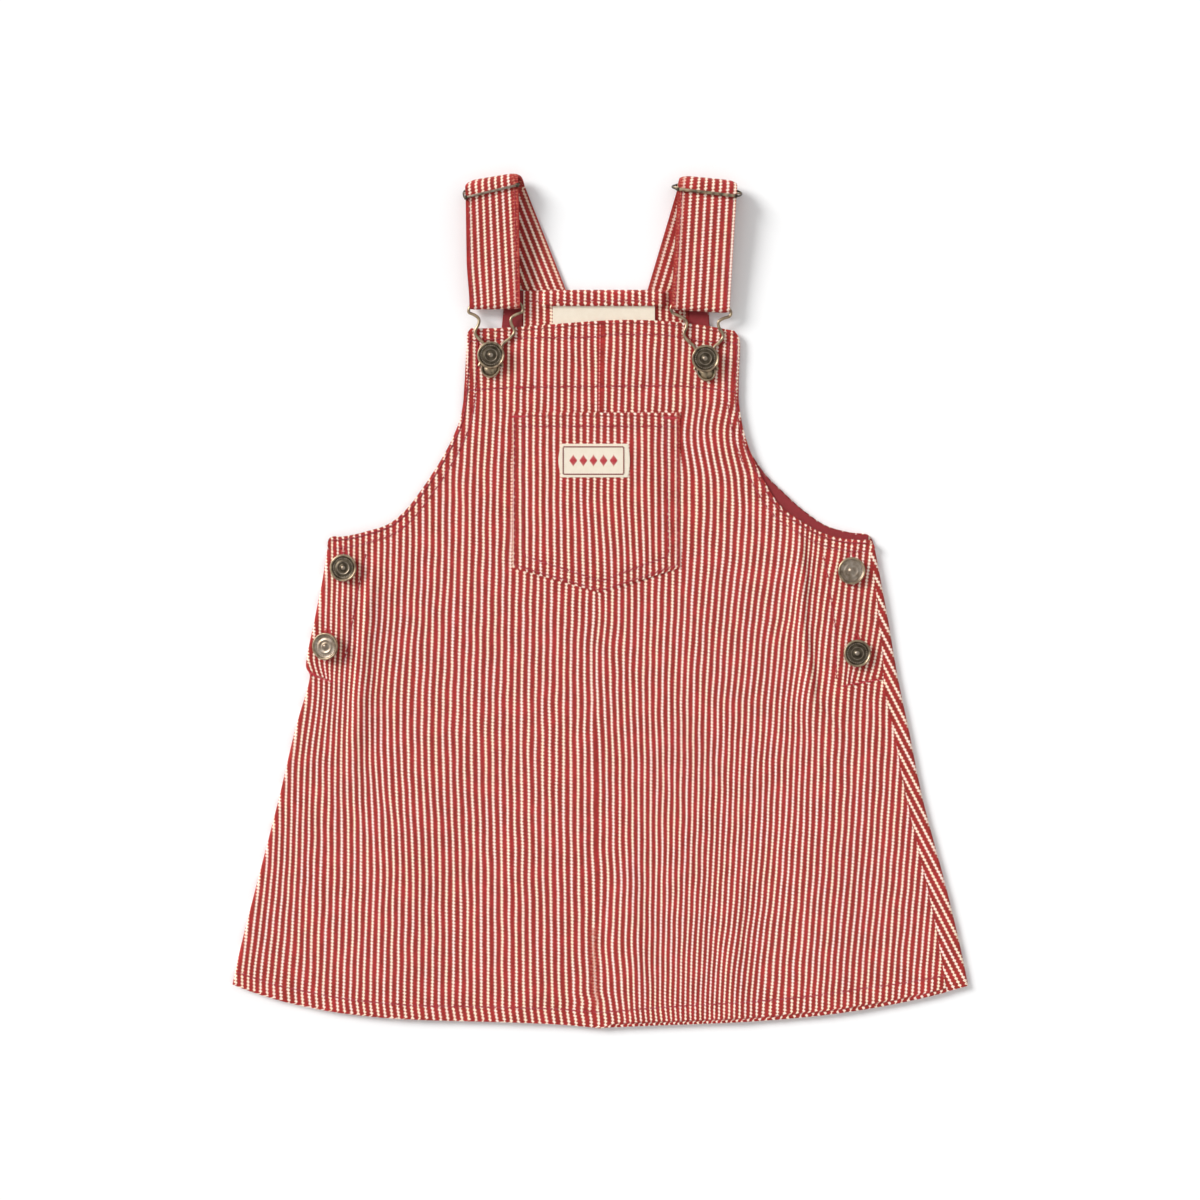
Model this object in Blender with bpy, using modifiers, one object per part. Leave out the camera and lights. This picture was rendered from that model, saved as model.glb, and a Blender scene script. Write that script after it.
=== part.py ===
"""A toddler's pinafore dress in striped cotton twill, laid flat with its front up.

The back panel lies on the surface, with its facings on it and the two front
panels above them.  The skirt is one flattened tube: on the left the front
wraps under to a seam beneath, on the right the back wraps up to a seam on top.
Each strap runs from the back neck up to a wire slider, folds over, comes down
to a wire hook buttoned on the bib, and returns inside itself to the slider.

Lengths in this file are millimetres and become metres in each mesh.
X is the wearer's left to the viewer's right, +Y points to the straps, +Z is up.
"""
import math
from collections import namedtuple

import bmesh
import bpy
from mathutils import Matrix, Vector

MM = 0.001

# ---------------------------------------------------------------- thicknesses
CLOTH = 1.2          # twill wall of the panels and the pocket
THIN = 1.0           # facings and labels
STRAP = 1.5          # strap, two plies sewn together
GAP = 0.3            # clearance where pieces meet or lie on each other

BACK_MID = CLOTH / 2
FACING_MID = CLOTH + GAP + THIN / 2
LABEL_MID = FACING_MID + THIN + GAP
BIB_UNDER = CLOTH + GAP + THIN + GAP         # the front bib lies on the facings
SKIRT_UNDER = CLOTH + 0.7                    # the skirt front lies near the back
LABEL_LIFT = THIN + GAP                      # the bib's top rides over the label
BIB_TOP = BIB_UNDER + CLOTH                  # outer face of the bib

# ------------------------------------------------------------------- outlines
# A course is a line across a panel: left edge, centre front, right edge.
Course = namedtuple("Course", "left_x left_y centre_y right_x right_y")
# A side course adds how far the seam lies inside the side fold, and how far
# each half of the line bows down on its way to the side.
Side = namedtuple("Side", "left_x left_y centre_y right_x right_y wrap bow_left bow_right")

FRONT_BIB = (
    Course(-71.0, 148.9, 153.8, 73.2, 147.6),     # top edge
    Course(-72.9, 146.6, 150.6, 75.7, 144.0),     # rounded corner
    Course(-73.5, 139.0, 140.2, 76.2, 137.5),
    Course(-74.8, 115.0, 117.2, 75.4, 113.9),
    Course(-76.5, 101.2, 99.0, 76.8, 100.1),
    Course(-81.2, 88.6, 82.5, 79.8, 87.5),
    Course(-88.0, 75.9, 66.0, 84.2, 75.9),        # armhole begins to sweep out
    Course(-96.6, 62.7, 48.4, 91.1, 62.2),
    Course(-106.7, 50.9, 30.3, 99.0, 50.9),
    Course(-116.6, 42.4, 13.8, 109.5, 43.2),
    Course(-128.7, 37.4, 0.0, 122.1, 36.3),
    Course(-139.6, 34.9, -12.1, 135.3, 33.1),
    Course(-147.0, 33.6, -24.8, 146.3, 32.0),     # underarm corner
)

BACK_BIB = (
    Course(-53.1, 170.5, 169.9, 59.1, 170.4),     # back neck edge
    Course(-54.6, 148.5, 148.5, 60.2, 148.5),
    Course(-60.5, 121.0, 121.0, 66.5, 121.0),
    Course(-69.0, 93.5, 93.5, 75.9, 93.5),
    Course(-77.6, 75.9, 71.5, 88.6, 71.5),
    Course(-86.9, 63.3, 55.0, 100.7, 59.9),
    Course(-98.1, 50.6, 38.5, 111.1, 50.6),
    Course(-112.2, 41.8, 22.0, 123.2, 41.2),
    Course(-128.7, 36.3, 5.5, 136.2, 37.3),
    Course(-142.0, 31.4, -11.0, 147.2, 35.6),
)

SKIRT = (
    Side(-150.2, 28.2, -37.4, 150.6, 28.2, 2.8, 0.0, 0.0),      # underarm
    Side(-152.9, 11.0, -55.0, 154.3, 8.3, 3.6, 0.0, 0.0),
    Side(-157.3, -11.0, -74.3, 157.9, -11.0, 4.9, 0.0, 0.0),
    Side(-161.9, -34.5, -90.8, 161.2, -31.0, 6.3, 0.0, 0.0),
    Side(-160.0, -43.5, -104.5, 163.9, -46.0, 8.0, 0.0, 0.0),   # opening ends
    Side(-168.0, -71.5, -126.5, 169.3, -71.5, 8.2, 0.0, 0.0),
    Side(-177.1, -110.0, -151.3, 177.1, -110.0, 8.6, 1.1, 0.0),
    Side(-189.2, -156.8, -181.5, 189.5, -156.8, 10.0, 3.3, 1.4),
    Side(-197.5, -189.2, -209.0, 197.5, -190.3, 11.2, 6.2, 3.6),
    Side(-202.3, -210.1, -235.0, 201.8, -212.9, 12.1, 8.7, 5.3),  # hem
)
CENTRE_X = -0.6        # centre front seam
HEM_POWER = 2.0        # moves the bow of the left half outwards
HEM_PEAK = 4 / 27      # greatest value of share ** HEM_POWER * (1 - share)
FOLD_INSET = 2.0       # the side fold's height is taken this far inside it

# A fold is a soft ridge (or, with a negative height, a trough) along a line.
Fold = namedtuple("Fold", "top_x top_y end_x end_y half_width height")
FOLDS = (
    Fold(-124.0, 28.0, -135.5, -95.0, 4.5, 1.3),      # crease inside the left opening
    Fold(-138.0, 20.0, -144.0, -42.0, 6.5, 0.9),      # left opening stands proud
    Fold(109.0, 34.0, 114.0, -52.0, 4.0, 1.1),        # crease inside the right opening
    Fold(128.0, 14.0, 134.0, -62.0, 11.0, 1.3),       # puff under the right opening
    Fold(118.0, -58.0, 139.0, -84.0, 5.0, -0.5),      # short slanting dent below it
    Fold(-96.0, -60.0, -118.0, -232.0, 22.0, 1.2),    # broad rolls of the skirt
    Fold(-38.0, -110.0, -44.0, -232.0, 18.0, 0.8),
    Fold(14.0, -120.0, 20.0, -234.0, 9.0, 0.9),
    Fold(42.0, -90.0, 50.0, -232.0, 15.0, 1.1),
    Fold(69.0, -140.0, 76.0, -230.0, 8.0, 1.0),
    Fold(108.0, -100.0, 126.0, -226.0, 18.0, 1.1),
)
FOLD_LIMIT = 4.7       # highest underside of the front
FOLD_FADE = 0.25       # share of its length over which a fold comes and goes
FOLD_OVERRUN = 12.0    # how far a fold runs on past its end
BIB_FOOT, BIB_RISE = -30.0, 40.0         # where the front climbs onto the facings
LABEL_FOOT, LABEL_RISE = 112.0, 25.0     # where the bib climbs onto the label
LABEL_MIDDLE, LABEL_REACH, LABEL_BESIDE = 1.6, 31.0, 12.0    # and across it

# -------------------------------------------------------------- small pieces
POCKET_LEFT, POCKET_RIGHT = -48.7, 43.5
POCKET_TOP, POCKET_SIDE, POCKET_POINT = 102.6, 17.8, 3.9
POCKET_LABEL = dict(left=-22.0, right=15.2, top=85.6, bottom=67.2)
NECK_LABEL = dict(left=-26.4, right=29.7, top=162.6, bottom=140.5)
BACK_FACING = dict(left=-41.4, right=44.8, top=169.6, bottom=136.0)
ARM_FACING_INSET = 1.4     # the striped edge of the back shows past the facing
ARM_FACING_WIDTH = 14.0
ARM_FACING_NECK = 10.1     # its width beside the neck facing
ARM_FACING_SPREAD = 5.0    # courses along the armhole over which it widens
EDGE_STEP = 0.05           # part of a course over which an edge's run is taken

# --------------------------------------------------------------------- straps
WIRE = 1.0                 # radius of the slider and hook wire
LOOP = WIRE + GAP + STRAP / 2                # strap's middle round a wire
OUTER_LOOP = LOOP + STRAP + GAP              # strap folded round that loop
SLIDER_PLAY = 0.2
SLIDER_PITCH = OUTER_LOOP + STRAP / 2 + GAP + WIRE + SLIDER_PLAY   # bar to bar
SLIDER_TILT = math.radians(75)               # its plane against the surface
SLIDER_Z = WIRE + SLIDER_PITCH * math.sin(SLIDER_TILT)
HOOK_BAR_Z = BIB_UNDER + STRAP + GAP + WIRE
STRAP_DROP = 20.0          # length over which the strap comes down behind the fold
FREE_END = 9.0             # sewn end of the strap past the slider's middle bar

# width: as it lies; bottom: where the hook's bar lies; lean: of the front length
# from upright; crease: slope of the fold; slip and drift: how the back length
# moves sideways past the slider, at once and along its run; shift: of the slider
# along its bar; bulge: of the slider's ends; sway: of the hook's waist.
StrapSpec = namedtuple("StrapSpec", "side width bottom_x bottom_y length lean crease "
                       "slip drift shift bulge sway")
STRAPS = (
    StrapSpec("left", 28.9, -58.6, 162.6, 62.5, -0.7, 9.5, 3.0, 0.03, -0.6, 1.6, 1.3),
    StrapSpec("right", 30.6, 56.6, 161.8, 62.6, 2.6, -5.6, -1.9, -0.14, -0.2, 2.4, -0.8),
)
FOLD_REACH = OUTER_LOOP + 2.2                # how far the fold stands past the slider
SLIP_LENGTH = 14.0
STRAP_PLAY = 0.9                             # straight wire past each edge of a strap
BACK_NECK_Y = BACK_BIB[0].left_y + GAP       # where the straps meet the back neck

# ---------------------------------------------------------------- hooks, buttons
BUTTON_RADIUS = 7.3
CAP_UNDER_RADIUS = 6.5
SHANK_RADIUS = 2.4
CAP_HEIGHT = 2.4
HOOK_MID = BIB_TOP + GAP + WIRE              # the hook's wire on the bib
CAP_OVER_HOOK = 2 * GAP + 2 * WIRE           # cap's base above the bib
CAP_OVER_CLOTH = 0.9                         # cap's base above plain cloth

# The cap's face, from its nub to its rim: radius, height against the rim's top.
CAP_FACE = ((0.0, -0.1), (1.3, -0.3), (1.8, -0.8), (4.0, -0.7), (5.9, -0.8), (6.5, 0.0),
            (BUTTON_RADIUS, -0.6))
CAP_SIDE = 0.7                               # the cap narrows below this height

# Half of the hook's wire, across and up from the button's centre, from the
# strap's bar down to the end beside the plate.
Bend = namedtuple("Bend", "across up")
HOOK_BENDS = (
    Bend(15.2, 28.6), Bend(16.2, 27.0), Bend(15.4, 25.0), Bend(11.6, 23.5), Bend(8.9, 21.4),
    Bend(9.0, 18.0), Bend(10.6, 14.8), Bend(10.4, 12.4), Bend(8.4, 9.8), Bend(5.4, 6.6),
    Bend(4.8, 2.5), Bend(5.1, -2.0), Bend(6.4, -6.0),
)
BEND_STEPS = 2                               # straight lengths of wire per bend
PLATE_TOP_RADIUS = 5.9
PLATE_LOBE_Y, PLATE_LOBE_RADIUS = -6.4, 4.9
PLATE_WAIST = 25                             # degrees below level where the lobe starts
PLATE_RIM = 0.6
PLATE_THICKNESS = 1.0

BIB_BUTTONS = ((-60.5, 134.4), (57.7, 133.1))    # centres, left and right
ButtonSpec = namedtuple("ButtonSpec", "name x y tilt")
SIDE_BUTTONS = (
    ButtonSpec("side_button_left_upper", -141.3, 17.6, -8.0),
    ButtonSpec("side_button_left_lower", -150.4, -25.9, -14.0),
    ButtonSpec("side_button_right_upper", 138.3, 16.0, 0.0),
    ButtonSpec("side_button_right_lower", 141.4, -29.2, 3.0),
)

# ----------------------------------------------------------------- mesh density
FRONT_COLUMNS = 13
BACK_COLUMNS = 4
STEPS_PER_COURSE = 2
FOLD_STEPS = 4             # facets round a side fold
STRIP_STEPS = 2            # columns on the strip past a side fold
FACING_COLUMNS, PATCH_ROWS = 4, 2
POCKET_STEPS = 8
STRAP_COLUMNS = 2
SLIDER_END_STEPS = 8
LOBE_STEPS, PLATE_STEPS = 12, 6
SCREW_STEPS = 20


def smooth(value):
    """Ease from 0 to 1 as value goes from 0 to 1."""
    value = min(max(value, 0.0), 1.0)
    return value * value * (3 - 2 * value)


def mix(start, end, share):
    return start + (end - start) * share


def between(table, place):
    """The table's row at a fractional place, on a smooth curve through its rows."""
    last = len(table) - 1
    index = min(int(place), last - 1)
    share = place - index
    rows = [table[min(max(index + step, 0), last)] for step in (-1, 0, 1, 2)]
    values = []
    for before, start, end, after in zip(*rows):
        slope_in = (end - before) / 2
        slope_out = (after - start) / 2
        rise = end - start
        curve = share * share * (3 * rise - 2 * slope_in - slope_out)
        curve += share ** 3 * (slope_in + slope_out - 2 * rise)
        values.append(start + slope_in * share + curve)
    return type(table[0])(*values)


def course_at(bib, position):
    """The course at a position: on the bib without a wrap, or on the skirt."""
    if position >= len(bib):
        return between(SKIRT, position - len(bib))
    underarm = Course(*SKIRT[0][:len(Course._fields)])
    return Side(*between(bib + (underarm,), position), 0.0, 0.0, 0.0)


def course_rows(bib):
    return (len(bib) + len(SKIRT) - 1) * STEPS_PER_COURSE


def underside(x, y):
    """Height of the front's underside: over the facings, the label and the folds."""
    height = mix(SKIRT_UNDER, BIB_UNDER, smooth((y - BIB_FOOT) / BIB_RISE))
    beside_label = smooth((abs(x - LABEL_MIDDLE) - LABEL_REACH) / LABEL_BESIDE)
    height += LABEL_LIFT * smooth((y - LABEL_FOOT) / LABEL_RISE) * (1 - beside_label)
    for fold in FOLDS:
        run_x, run_y = fold.end_x - fold.top_x, fold.end_y - fold.top_y
        length = math.hypot(run_x, run_y)
        along = ((x - fold.top_x) * run_x + (y - fold.top_y) * run_y) / length
        aside = ((x - fold.top_x) * run_y - (y - fold.top_y) * run_x) / length
        left = length + FOLD_OVERRUN - along
        fade = smooth(along / length / FOLD_FADE) * smooth(left / length / FOLD_FADE)
        height += fold.height * fade * math.exp(-(aside / fold.half_width) ** 2)
    return min(height, FOLD_LIMIT)


def front_top(x, y):
    """Height of the front's outer face."""
    return underside(x, y) + CLOTH


def bow(course, side, share):
    """How far a course lies below the straight line at a share of the way out."""
    if side < 0:
        return course.bow_left * share ** HEM_POWER * (1 - share) / HEM_PEAK
    return course.bow_right * 4 * share * (1 - share)


def outer(course, side):
    return (course.left_x, course.left_y) if side < 0 else (course.right_x, course.right_y)


def height_on(course, side, x):
    """The y of a course at an x, between the centre seam and its outer end."""
    outer_x, outer_y = outer(course, side)
    share = (x - CENTRE_X) / (outer_x - CENTRE_X)
    return mix(course.centre_y, outer_y, share) - bow(course, side, min(share, 1.0))


def side_fold(course, side):
    """Where a side fold leaves the top layer, and its middle radius."""
    outer_x, outer_y = outer(course, side)
    radius = underside(outer_x - side * FOLD_INSET, outer_y) / 2
    return outer_x - side * (radius + CLOTH / 2), radius


def front_edge(course, side):
    """The x where the front's top layer ends on this course."""
    if course.wrap == 0:
        return outer(course, side)[0]
    if side < 0:
        return side_fold(course, side)[0]
    return course.right_x - course.wrap - GAP / 2


# ------------------------------------------------------------------ scene tools
def clear_scene():
    for old in list(bpy.data.objects):
        bpy.data.objects.remove(old, do_unlink=True)


def collection(name):
    group = bpy.data.collections.new(name)
    bpy.context.scene.collection.children.link(group)
    return group


def make_material(name, colour, roughness, metallic=0.0):
    material = bpy.data.materials.new(name)
    material.use_nodes = True
    shader = material.node_tree.nodes["Principled BSDF"]
    shader.inputs["Base Color"].default_value = (*colour, 1.0)
    shader.inputs["Roughness"].default_value = roughness
    shader.inputs["Metallic"].default_value = metallic
    return material


def add_object(name, mesh, material):
    piece = bpy.data.objects.new(name, mesh)
    mesh.materials.clear()
    mesh.materials.append(material)
    dress.objects.link(piece)
    return piece


def cloth(name, columns, rows, place, material, thickness):
    """A wall of cloth on a grid: place(i, j) gives each middle point in mm, or None."""
    grid = bmesh.new()
    bmesh.ops.create_grid(grid, x_segments=columns, y_segments=rows, size=1)
    dropped = []
    for vertex in grid.verts:
        column = round((vertex.co.x + 1) / 2 * columns)
        row = round((1 - vertex.co.y) / 2 * rows)
        point = place(column, row)
        if point is None:
            dropped.append(vertex)
        else:
            vertex.co = Vector(point) * MM
    bmesh.ops.delete(grid, geom=dropped, context='VERTS')
    bmesh.ops.recalc_face_normals(grid, faces=grid.faces)
    mesh = bpy.data.meshes.new(name)
    grid.to_mesh(mesh)
    grid.free()
    mesh.shade_smooth()
    piece = add_object(name, mesh, material)
    wall = piece.modifiers.new("wall", 'SOLIDIFY')
    wall.thickness = thickness * MM
    wall.offset = 0.0
    wall.use_even_offset = True
    return piece


# ----------------------------------------------------------------------- panels
def front_panel(name, side, material):
    """Half of the front; the left half wraps under at the side fold."""
    extra = FOLD_STEPS + STRIP_STEPS if side < 0 else 0

    def place(column, row):
        course = course_at(FRONT_BIB, row / STEPS_PER_COURSE)
        if column <= FRONT_COLUMNS:
            seam_x = CENTRE_X + side * GAP / 2
            x = mix(seam_x, front_edge(course, side), column / FRONT_COLUMNS)
            y = height_on(course, side, x)
            return x, y, underside(x, y) + CLOTH / 2
        if course.wrap == 0:
            return None
        return past_fold(course, side, column - FRONT_COLUMNS, top_first=True)

    columns = FRONT_COLUMNS + extra
    return cloth(name, columns, course_rows(FRONT_BIB), place, material, CLOTH)


def past_fold(course, side, step, top_first):
    """Points round a side fold, then on the strip that runs back to the seam."""
    fold_x, radius = side_fold(course, side)
    seam_x = outer(course, side)[0] - side * (course.wrap - GAP / 2)
    if step <= FOLD_STEPS:
        turn = math.pi * step / FOLD_STEPS
        rise = math.cos(turn) if top_first else -math.cos(turn)
        x = fold_x + side * radius * math.sin(turn)
        return x, height_on(course, side, x), BACK_MID + radius * (1 + rise)
    x = mix(fold_x, seam_x, (step - FOLD_STEPS) / STRIP_STEPS)
    y = height_on(course, side, x)
    return x, y, BACK_MID if top_first else underside(x, y) + CLOTH / 2


def back_panel(material):
    """The back, flat on the surface, wrapping up at the right side fold."""
    def place(column, row):
        course = course_at(BACK_BIB, row / STEPS_PER_COURSE)
        left, right = course.left_x, course.right_x
        if course.wrap:
            left += course.wrap + GAP / 2
            right = side_fold(course, 1)[0]
        if column <= BACK_COLUMNS:
            share = column / BACK_COLUMNS * 2 - 1
            side = -1 if share < 0 else 1
            x = mix(CENTRE_X, left if share < 0 else right, abs(share))
            return x, height_on(course, side, x), BACK_MID
        if course.wrap == 0:
            return None
        return past_fold(course, 1, column - BACK_COLUMNS, top_first=False)

    columns = BACK_COLUMNS + FOLD_STEPS + STRIP_STEPS
    return cloth("back_panel", columns, course_rows(BACK_BIB), place, material, CLOTH)


def armhole_facing(name, side, material):
    """Plain facing inside the back armhole, a strip along the back's edge."""
    rows = (len(BACK_BIB) - 1) * STEPS_PER_COURSE

    def edge(position):
        course = between(BACK_BIB, min(max(position, 0.0), len(BACK_BIB) - 1.0))
        if side < 0:
            return Vector((course.left_x, course.left_y))
        return Vector((course.right_x, course.right_y))

    def place(column, row):
        position = row / STEPS_PER_COURSE
        run = (edge(position + EDGE_STEP) - edge(position - EDGE_STEP)).normalized()
        inward = Vector((run.y, -run.x)) * side
        width = mix(ARM_FACING_NECK, ARM_FACING_WIDTH, smooth(position / ARM_FACING_SPREAD))
        point = edge(position) + inward * (ARM_FACING_INSET + width * column)
        return point.x, min(point.y, BACK_FACING["top"]), FACING_MID

    return cloth(name, 1, rows, place, material, THIN)


def patch(name, area, middle, material):
    """A thin rectangle of cloth; middle(x, y) gives the height of its middle."""
    def place(column, row):
        x = mix(area["left"], area["right"], column / FACING_COLUMNS)
        y = mix(area["top"], area["bottom"], row / PATCH_ROWS)
        return x, y, middle(x, y)

    return cloth(name, FACING_COLUMNS, PATCH_ROWS, place, material, THIN)


def chest_pocket(material):
    """Pointed patch pocket, on the front and across its centre seam."""
    def place(column, row):
        half = column / POCKET_STEPS * 2 - 1
        x = -half * POCKET_LEFT if half < 0 else half * POCKET_RIGHT
        bottom = mix(POCKET_POINT, POCKET_SIDE, abs(half))
        y = mix(POCKET_TOP, bottom, row / POCKET_STEPS)
        return x, y, front_top(x, y) + GAP + CLOTH / 2

    return cloth("chest_pocket", POCKET_STEPS, POCKET_STEPS, place, material, CLOTH)


# ----------------------------------------------------------------------- straps
def strap_frame(spec):
    """The directions of a strap: up, across, along the crease, past the crease."""
    lean, crease = math.radians(spec.lean), math.radians(spec.crease)
    up = Vector((math.sin(lean), math.cos(lean)))
    wide = Vector((math.cos(lean), -math.sin(lean)))
    along = Vector((math.cos(crease), math.sin(crease)))
    past = Vector((-math.sin(crease), math.cos(crease)))
    return up, wide, along, past


def slider_centre(spec):
    up = strap_frame(spec)[0]
    return Vector((spec.bottom_x, spec.bottom_y)) + up * spec.length


def strap(spec, material):
    """One strap, from the back neck round the slider and the hook to its sewn end."""
    up, wide, along, past = strap_frame(spec)
    bottom = Vector((spec.bottom_x, spec.bottom_y))
    slant = wide.dot(past) / up.dot(past)
    back_way = along * (2 * along.dot(up)) - up

    def crease_point(w):
        return bottom + wide * w + up * (spec.length - w * slant)

    def point(flat, height):
        return flat.x, flat.y, height

    def round_slider(w, turn):
        flat = crease_point(w) + past * (FOLD_REACH * math.sin(turn))
        return point(flat, SLIDER_Z + OUTER_LOOP * math.cos(turn))

    def behind(w, run):
        """Back length: run goes from 0 at the fold to 1 at the back neck."""
        start = crease_point(w)
        way = back_way + along * spec.drift
        length = (BACK_NECK_Y - start.y) / way.y
        slip = Vector((spec.slip * smooth(length * run / SLIP_LENGTH), 0.0))
        flat = start + way * (length * run) + slip
        fallen = smooth(length * run / STRAP_DROP)
        return point(flat, mix(SLIDER_Z - OUTER_LOOP, STRAP / 2, fallen))

    def before(w, run, low, high):
        """Front lengths: run goes from 0 at the hook to 1 at the slider."""
        flat = bottom + wide * w + up * (spec.length - w * slant) * run
        return point(flat, mix(low, high, smooth(run)))

    def round_hook(w, turn):
        flat = bottom + wide * w - up * (LOOP * math.sin(turn))
        return point(flat, HOOK_BAR_Z + LOOP * math.cos(turn))

    def round_middle_bar(w, turn):
        flat = crease_point(w) + past * (LOOP * math.sin(turn))
        return point(flat, SLIDER_Z - LOOP * math.cos(turn))

    def free_end(w, run):
        flat = crease_point(w) - up * (FREE_END * run)
        under = before(w, 1 - FREE_END * run / spec.length, HOOK_BAR_Z - LOOP, SLIDER_Z - LOOP)
        rest = under[2] + STRAP + GAP
        return point(flat, mix(SLIDER_Z + LOOP, rest, smooth(run)))

    rungs = []
    rungs += [lambda w, s=s: behind(w, 1 - s) for s in stops(10)]
    rungs += [lambda w, s=s: round_slider(w, math.pi * (1 - s)) for s in stops(8)]
    rungs += [lambda w, s=s: before(w, 1 - s, HOOK_BAR_Z + LOOP, SLIDER_Z + OUTER_LOOP)
              for s in stops(8)]
    rungs += [lambda w, s=s: round_hook(w, math.pi * s) for s in stops(6)]
    rungs += [lambda w, s=s: before(w, s, HOOK_BAR_Z - LOOP, SLIDER_Z - LOOP) for s in stops(7)]
    rungs += [lambda w, s=s: round_middle_bar(w, math.pi * s) for s in stops(6)]
    rungs += [lambda w, s=s: free_end(w, s) for s in stops(3)]
    rungs.append(lambda w: free_end(w, 1.0))

    return cloth("strap_" + spec.side, STRAP_COLUMNS, len(rungs) - 1,
                 lambda i, j: rungs[j](spec.width * (i / STRAP_COLUMNS - 0.5)),
                 material, STRAP)


def stops(count):
    """Shares 0, 1/count, 2/count and so on, without the last."""
    return [index / count for index in range(count)]


# ------------------------------------------------------------------------- wire
def wire_mesh(name, points, radius, cyclic=False):
    """A bent wire as a mesh, from points in mm."""
    curve = bpy.data.curves.new(name, 'CURVE')
    curve.dimensions = '3D'
    curve.bevel_depth = radius * MM
    curve.bevel_resolution = 2
    curve.use_fill_caps = not cyclic
    spline = curve.splines.new('POLY')
    spline.points.add(len(points) - 1)
    for target, point in zip(spline.points, points):
        target.co = (*(Vector(point) * MM), 1.0)
    spline.use_cyclic_u = cyclic
    guide = bpy.data.objects.new(name, curve)
    cutters.objects.link(guide)
    bpy.context.view_layer.update()
    depsgraph = bpy.context.evaluated_depsgraph_get()
    mesh = bpy.data.meshes.new_from_object(guide.evaluated_get(depsgraph))
    bpy.data.objects.remove(guide, do_unlink=True)
    weld_mesh(mesh)
    return mesh


def weld_mesh(mesh):
    welded = bmesh.new()
    welded.from_mesh(mesh)
    bmesh.ops.remove_doubles(welded, verts=welded.verts, dist=1e-6)
    bmesh.ops.recalc_face_normals(welded, faces=welded.faces)
    welded.to_mesh(mesh)
    welded.free()


def union(piece, mesh):
    """Join a mesh to a piece with a Boolean, through a hidden helper."""
    helper = bpy.data.objects.new(piece.name + "_join", mesh)
    helper.hide_render = True
    helper.display_type = 'WIRE'
    cutters.objects.link(helper)
    join = piece.modifiers.new("join", 'BOOLEAN')
    join.operation = 'UNION'
    join.object = helper


def arc(centre_x, centre_y, radius, start, end, steps):
    """Points on an arc, angles in degrees."""
    angles = [math.radians(mix(start, end, step / steps)) for step in range(steps + 1)]
    return [(centre_x + radius * math.cos(a), centre_y + radius * math.sin(a)) for a in angles]


def slider(spec, material):
    """Wire slider: an oval frame with a middle bar, standing in the strap's fold."""
    along, past = strap_frame(spec)[2:]
    centre = slider_centre(spec) + along * spec.shift
    rise = Vector((-past.x * math.cos(SLIDER_TILT), -past.y * math.cos(SLIDER_TILT),
                   math.sin(SLIDER_TILT)))
    bar = Vector((along.x, along.y, 0.0))
    middle = Vector((centre.x, centre.y, SLIDER_Z))
    straight = spec.width / 2 + STRAP_PLAY

    def place(u, v):
        return middle + bar * u + rise * v

    frame = []
    for end in (1, -1):
        for step in range(SLIDER_END_STEPS + 1):
            turn = math.pi * (0.5 - step / SLIDER_END_STEPS)
            frame.append(place(end * (straight + spec.bulge * math.cos(turn)),
                               end * SLIDER_PITCH * math.sin(turn)))
    piece = add_object("slider_" + spec.side,
                       wire_mesh("slider", frame, WIRE, cyclic=True), material)
    reach = straight + spec.bulge
    union(piece, wire_mesh("bar", [place(-reach, 0), place(reach, 0)], WIRE))
    return piece


def hook(spec, centre, material):
    """Wire hook with its keyhole plate, from a strap's end to the bib button."""
    bar = Vector((spec.bottom_x, spec.bottom_y)) - Vector(centre)
    wide = strap_frame(spec)[1]
    top_bend = HOOK_BENDS[0]
    wider = spec.width / 2 + STRAP_PLAY - top_bend.across

    def place(u, v, height=HOOK_MID):
        """(u, v) is across and up from the button; the bar end follows the strap."""
        share = v / top_bend.up
        upper = smooth(share)
        u += math.copysign(wider, u) * smooth((share - 0.5) * 3)
        x = centre[0] + mix(u, wide.x * u, upper) + bar.x * share
        x += spec.sway * math.sin(math.pi * min(max(share, 0.0), 1.0))
        y = centre[1] + mix(v, bar.y * share + wide.y * u, upper)
        return x, y, mix(height, HOOK_BAR_Z, upper)

    pieces = (len(HOOK_BENDS) - 1) * BEND_STEPS
    half = [between(HOOK_BENDS, step / BEND_STEPS) for step in range(pieces + 1)]
    wire = [place(-u, v) for u, v in reversed(half)] + [place(u, v) for u, v in half]
    piece = add_object("hook_" + spec.side, wire_mesh("hook", wire, WIRE), material)

    slot = SHANK_RADIUS + GAP
    notch = math.degrees(math.asin(slot / PLATE_TOP_RADIUS))
    outline = arc(0, 0, PLATE_TOP_RADIUS, 90 - notch, -PLATE_WAIST, PLATE_STEPS)
    outline += arc(0, PLATE_LOBE_Y, PLATE_LOBE_RADIUS, -5, -175, LOBE_STEPS)
    outline += arc(0, 0, PLATE_TOP_RADIUS, 180 + PLATE_WAIST, 90 + notch, PLATE_STEPS)
    outline += arc(0, 0, slot, 180, 360, PLATE_STEPS)
    union(piece, plate_mesh([place(u, v)[:2] for u, v in outline]))

    rim = arc(0, PLATE_LOBE_Y, PLATE_LOBE_RADIUS - PLATE_RIM / 2, 0, -180, LOBE_STEPS)
    raised = HOOK_MID + PLATE_THICKNESS / 2
    union(piece, wire_mesh("rim", [place(u, v, raised) for u, v in rim], PLATE_RIM))
    return piece


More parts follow.
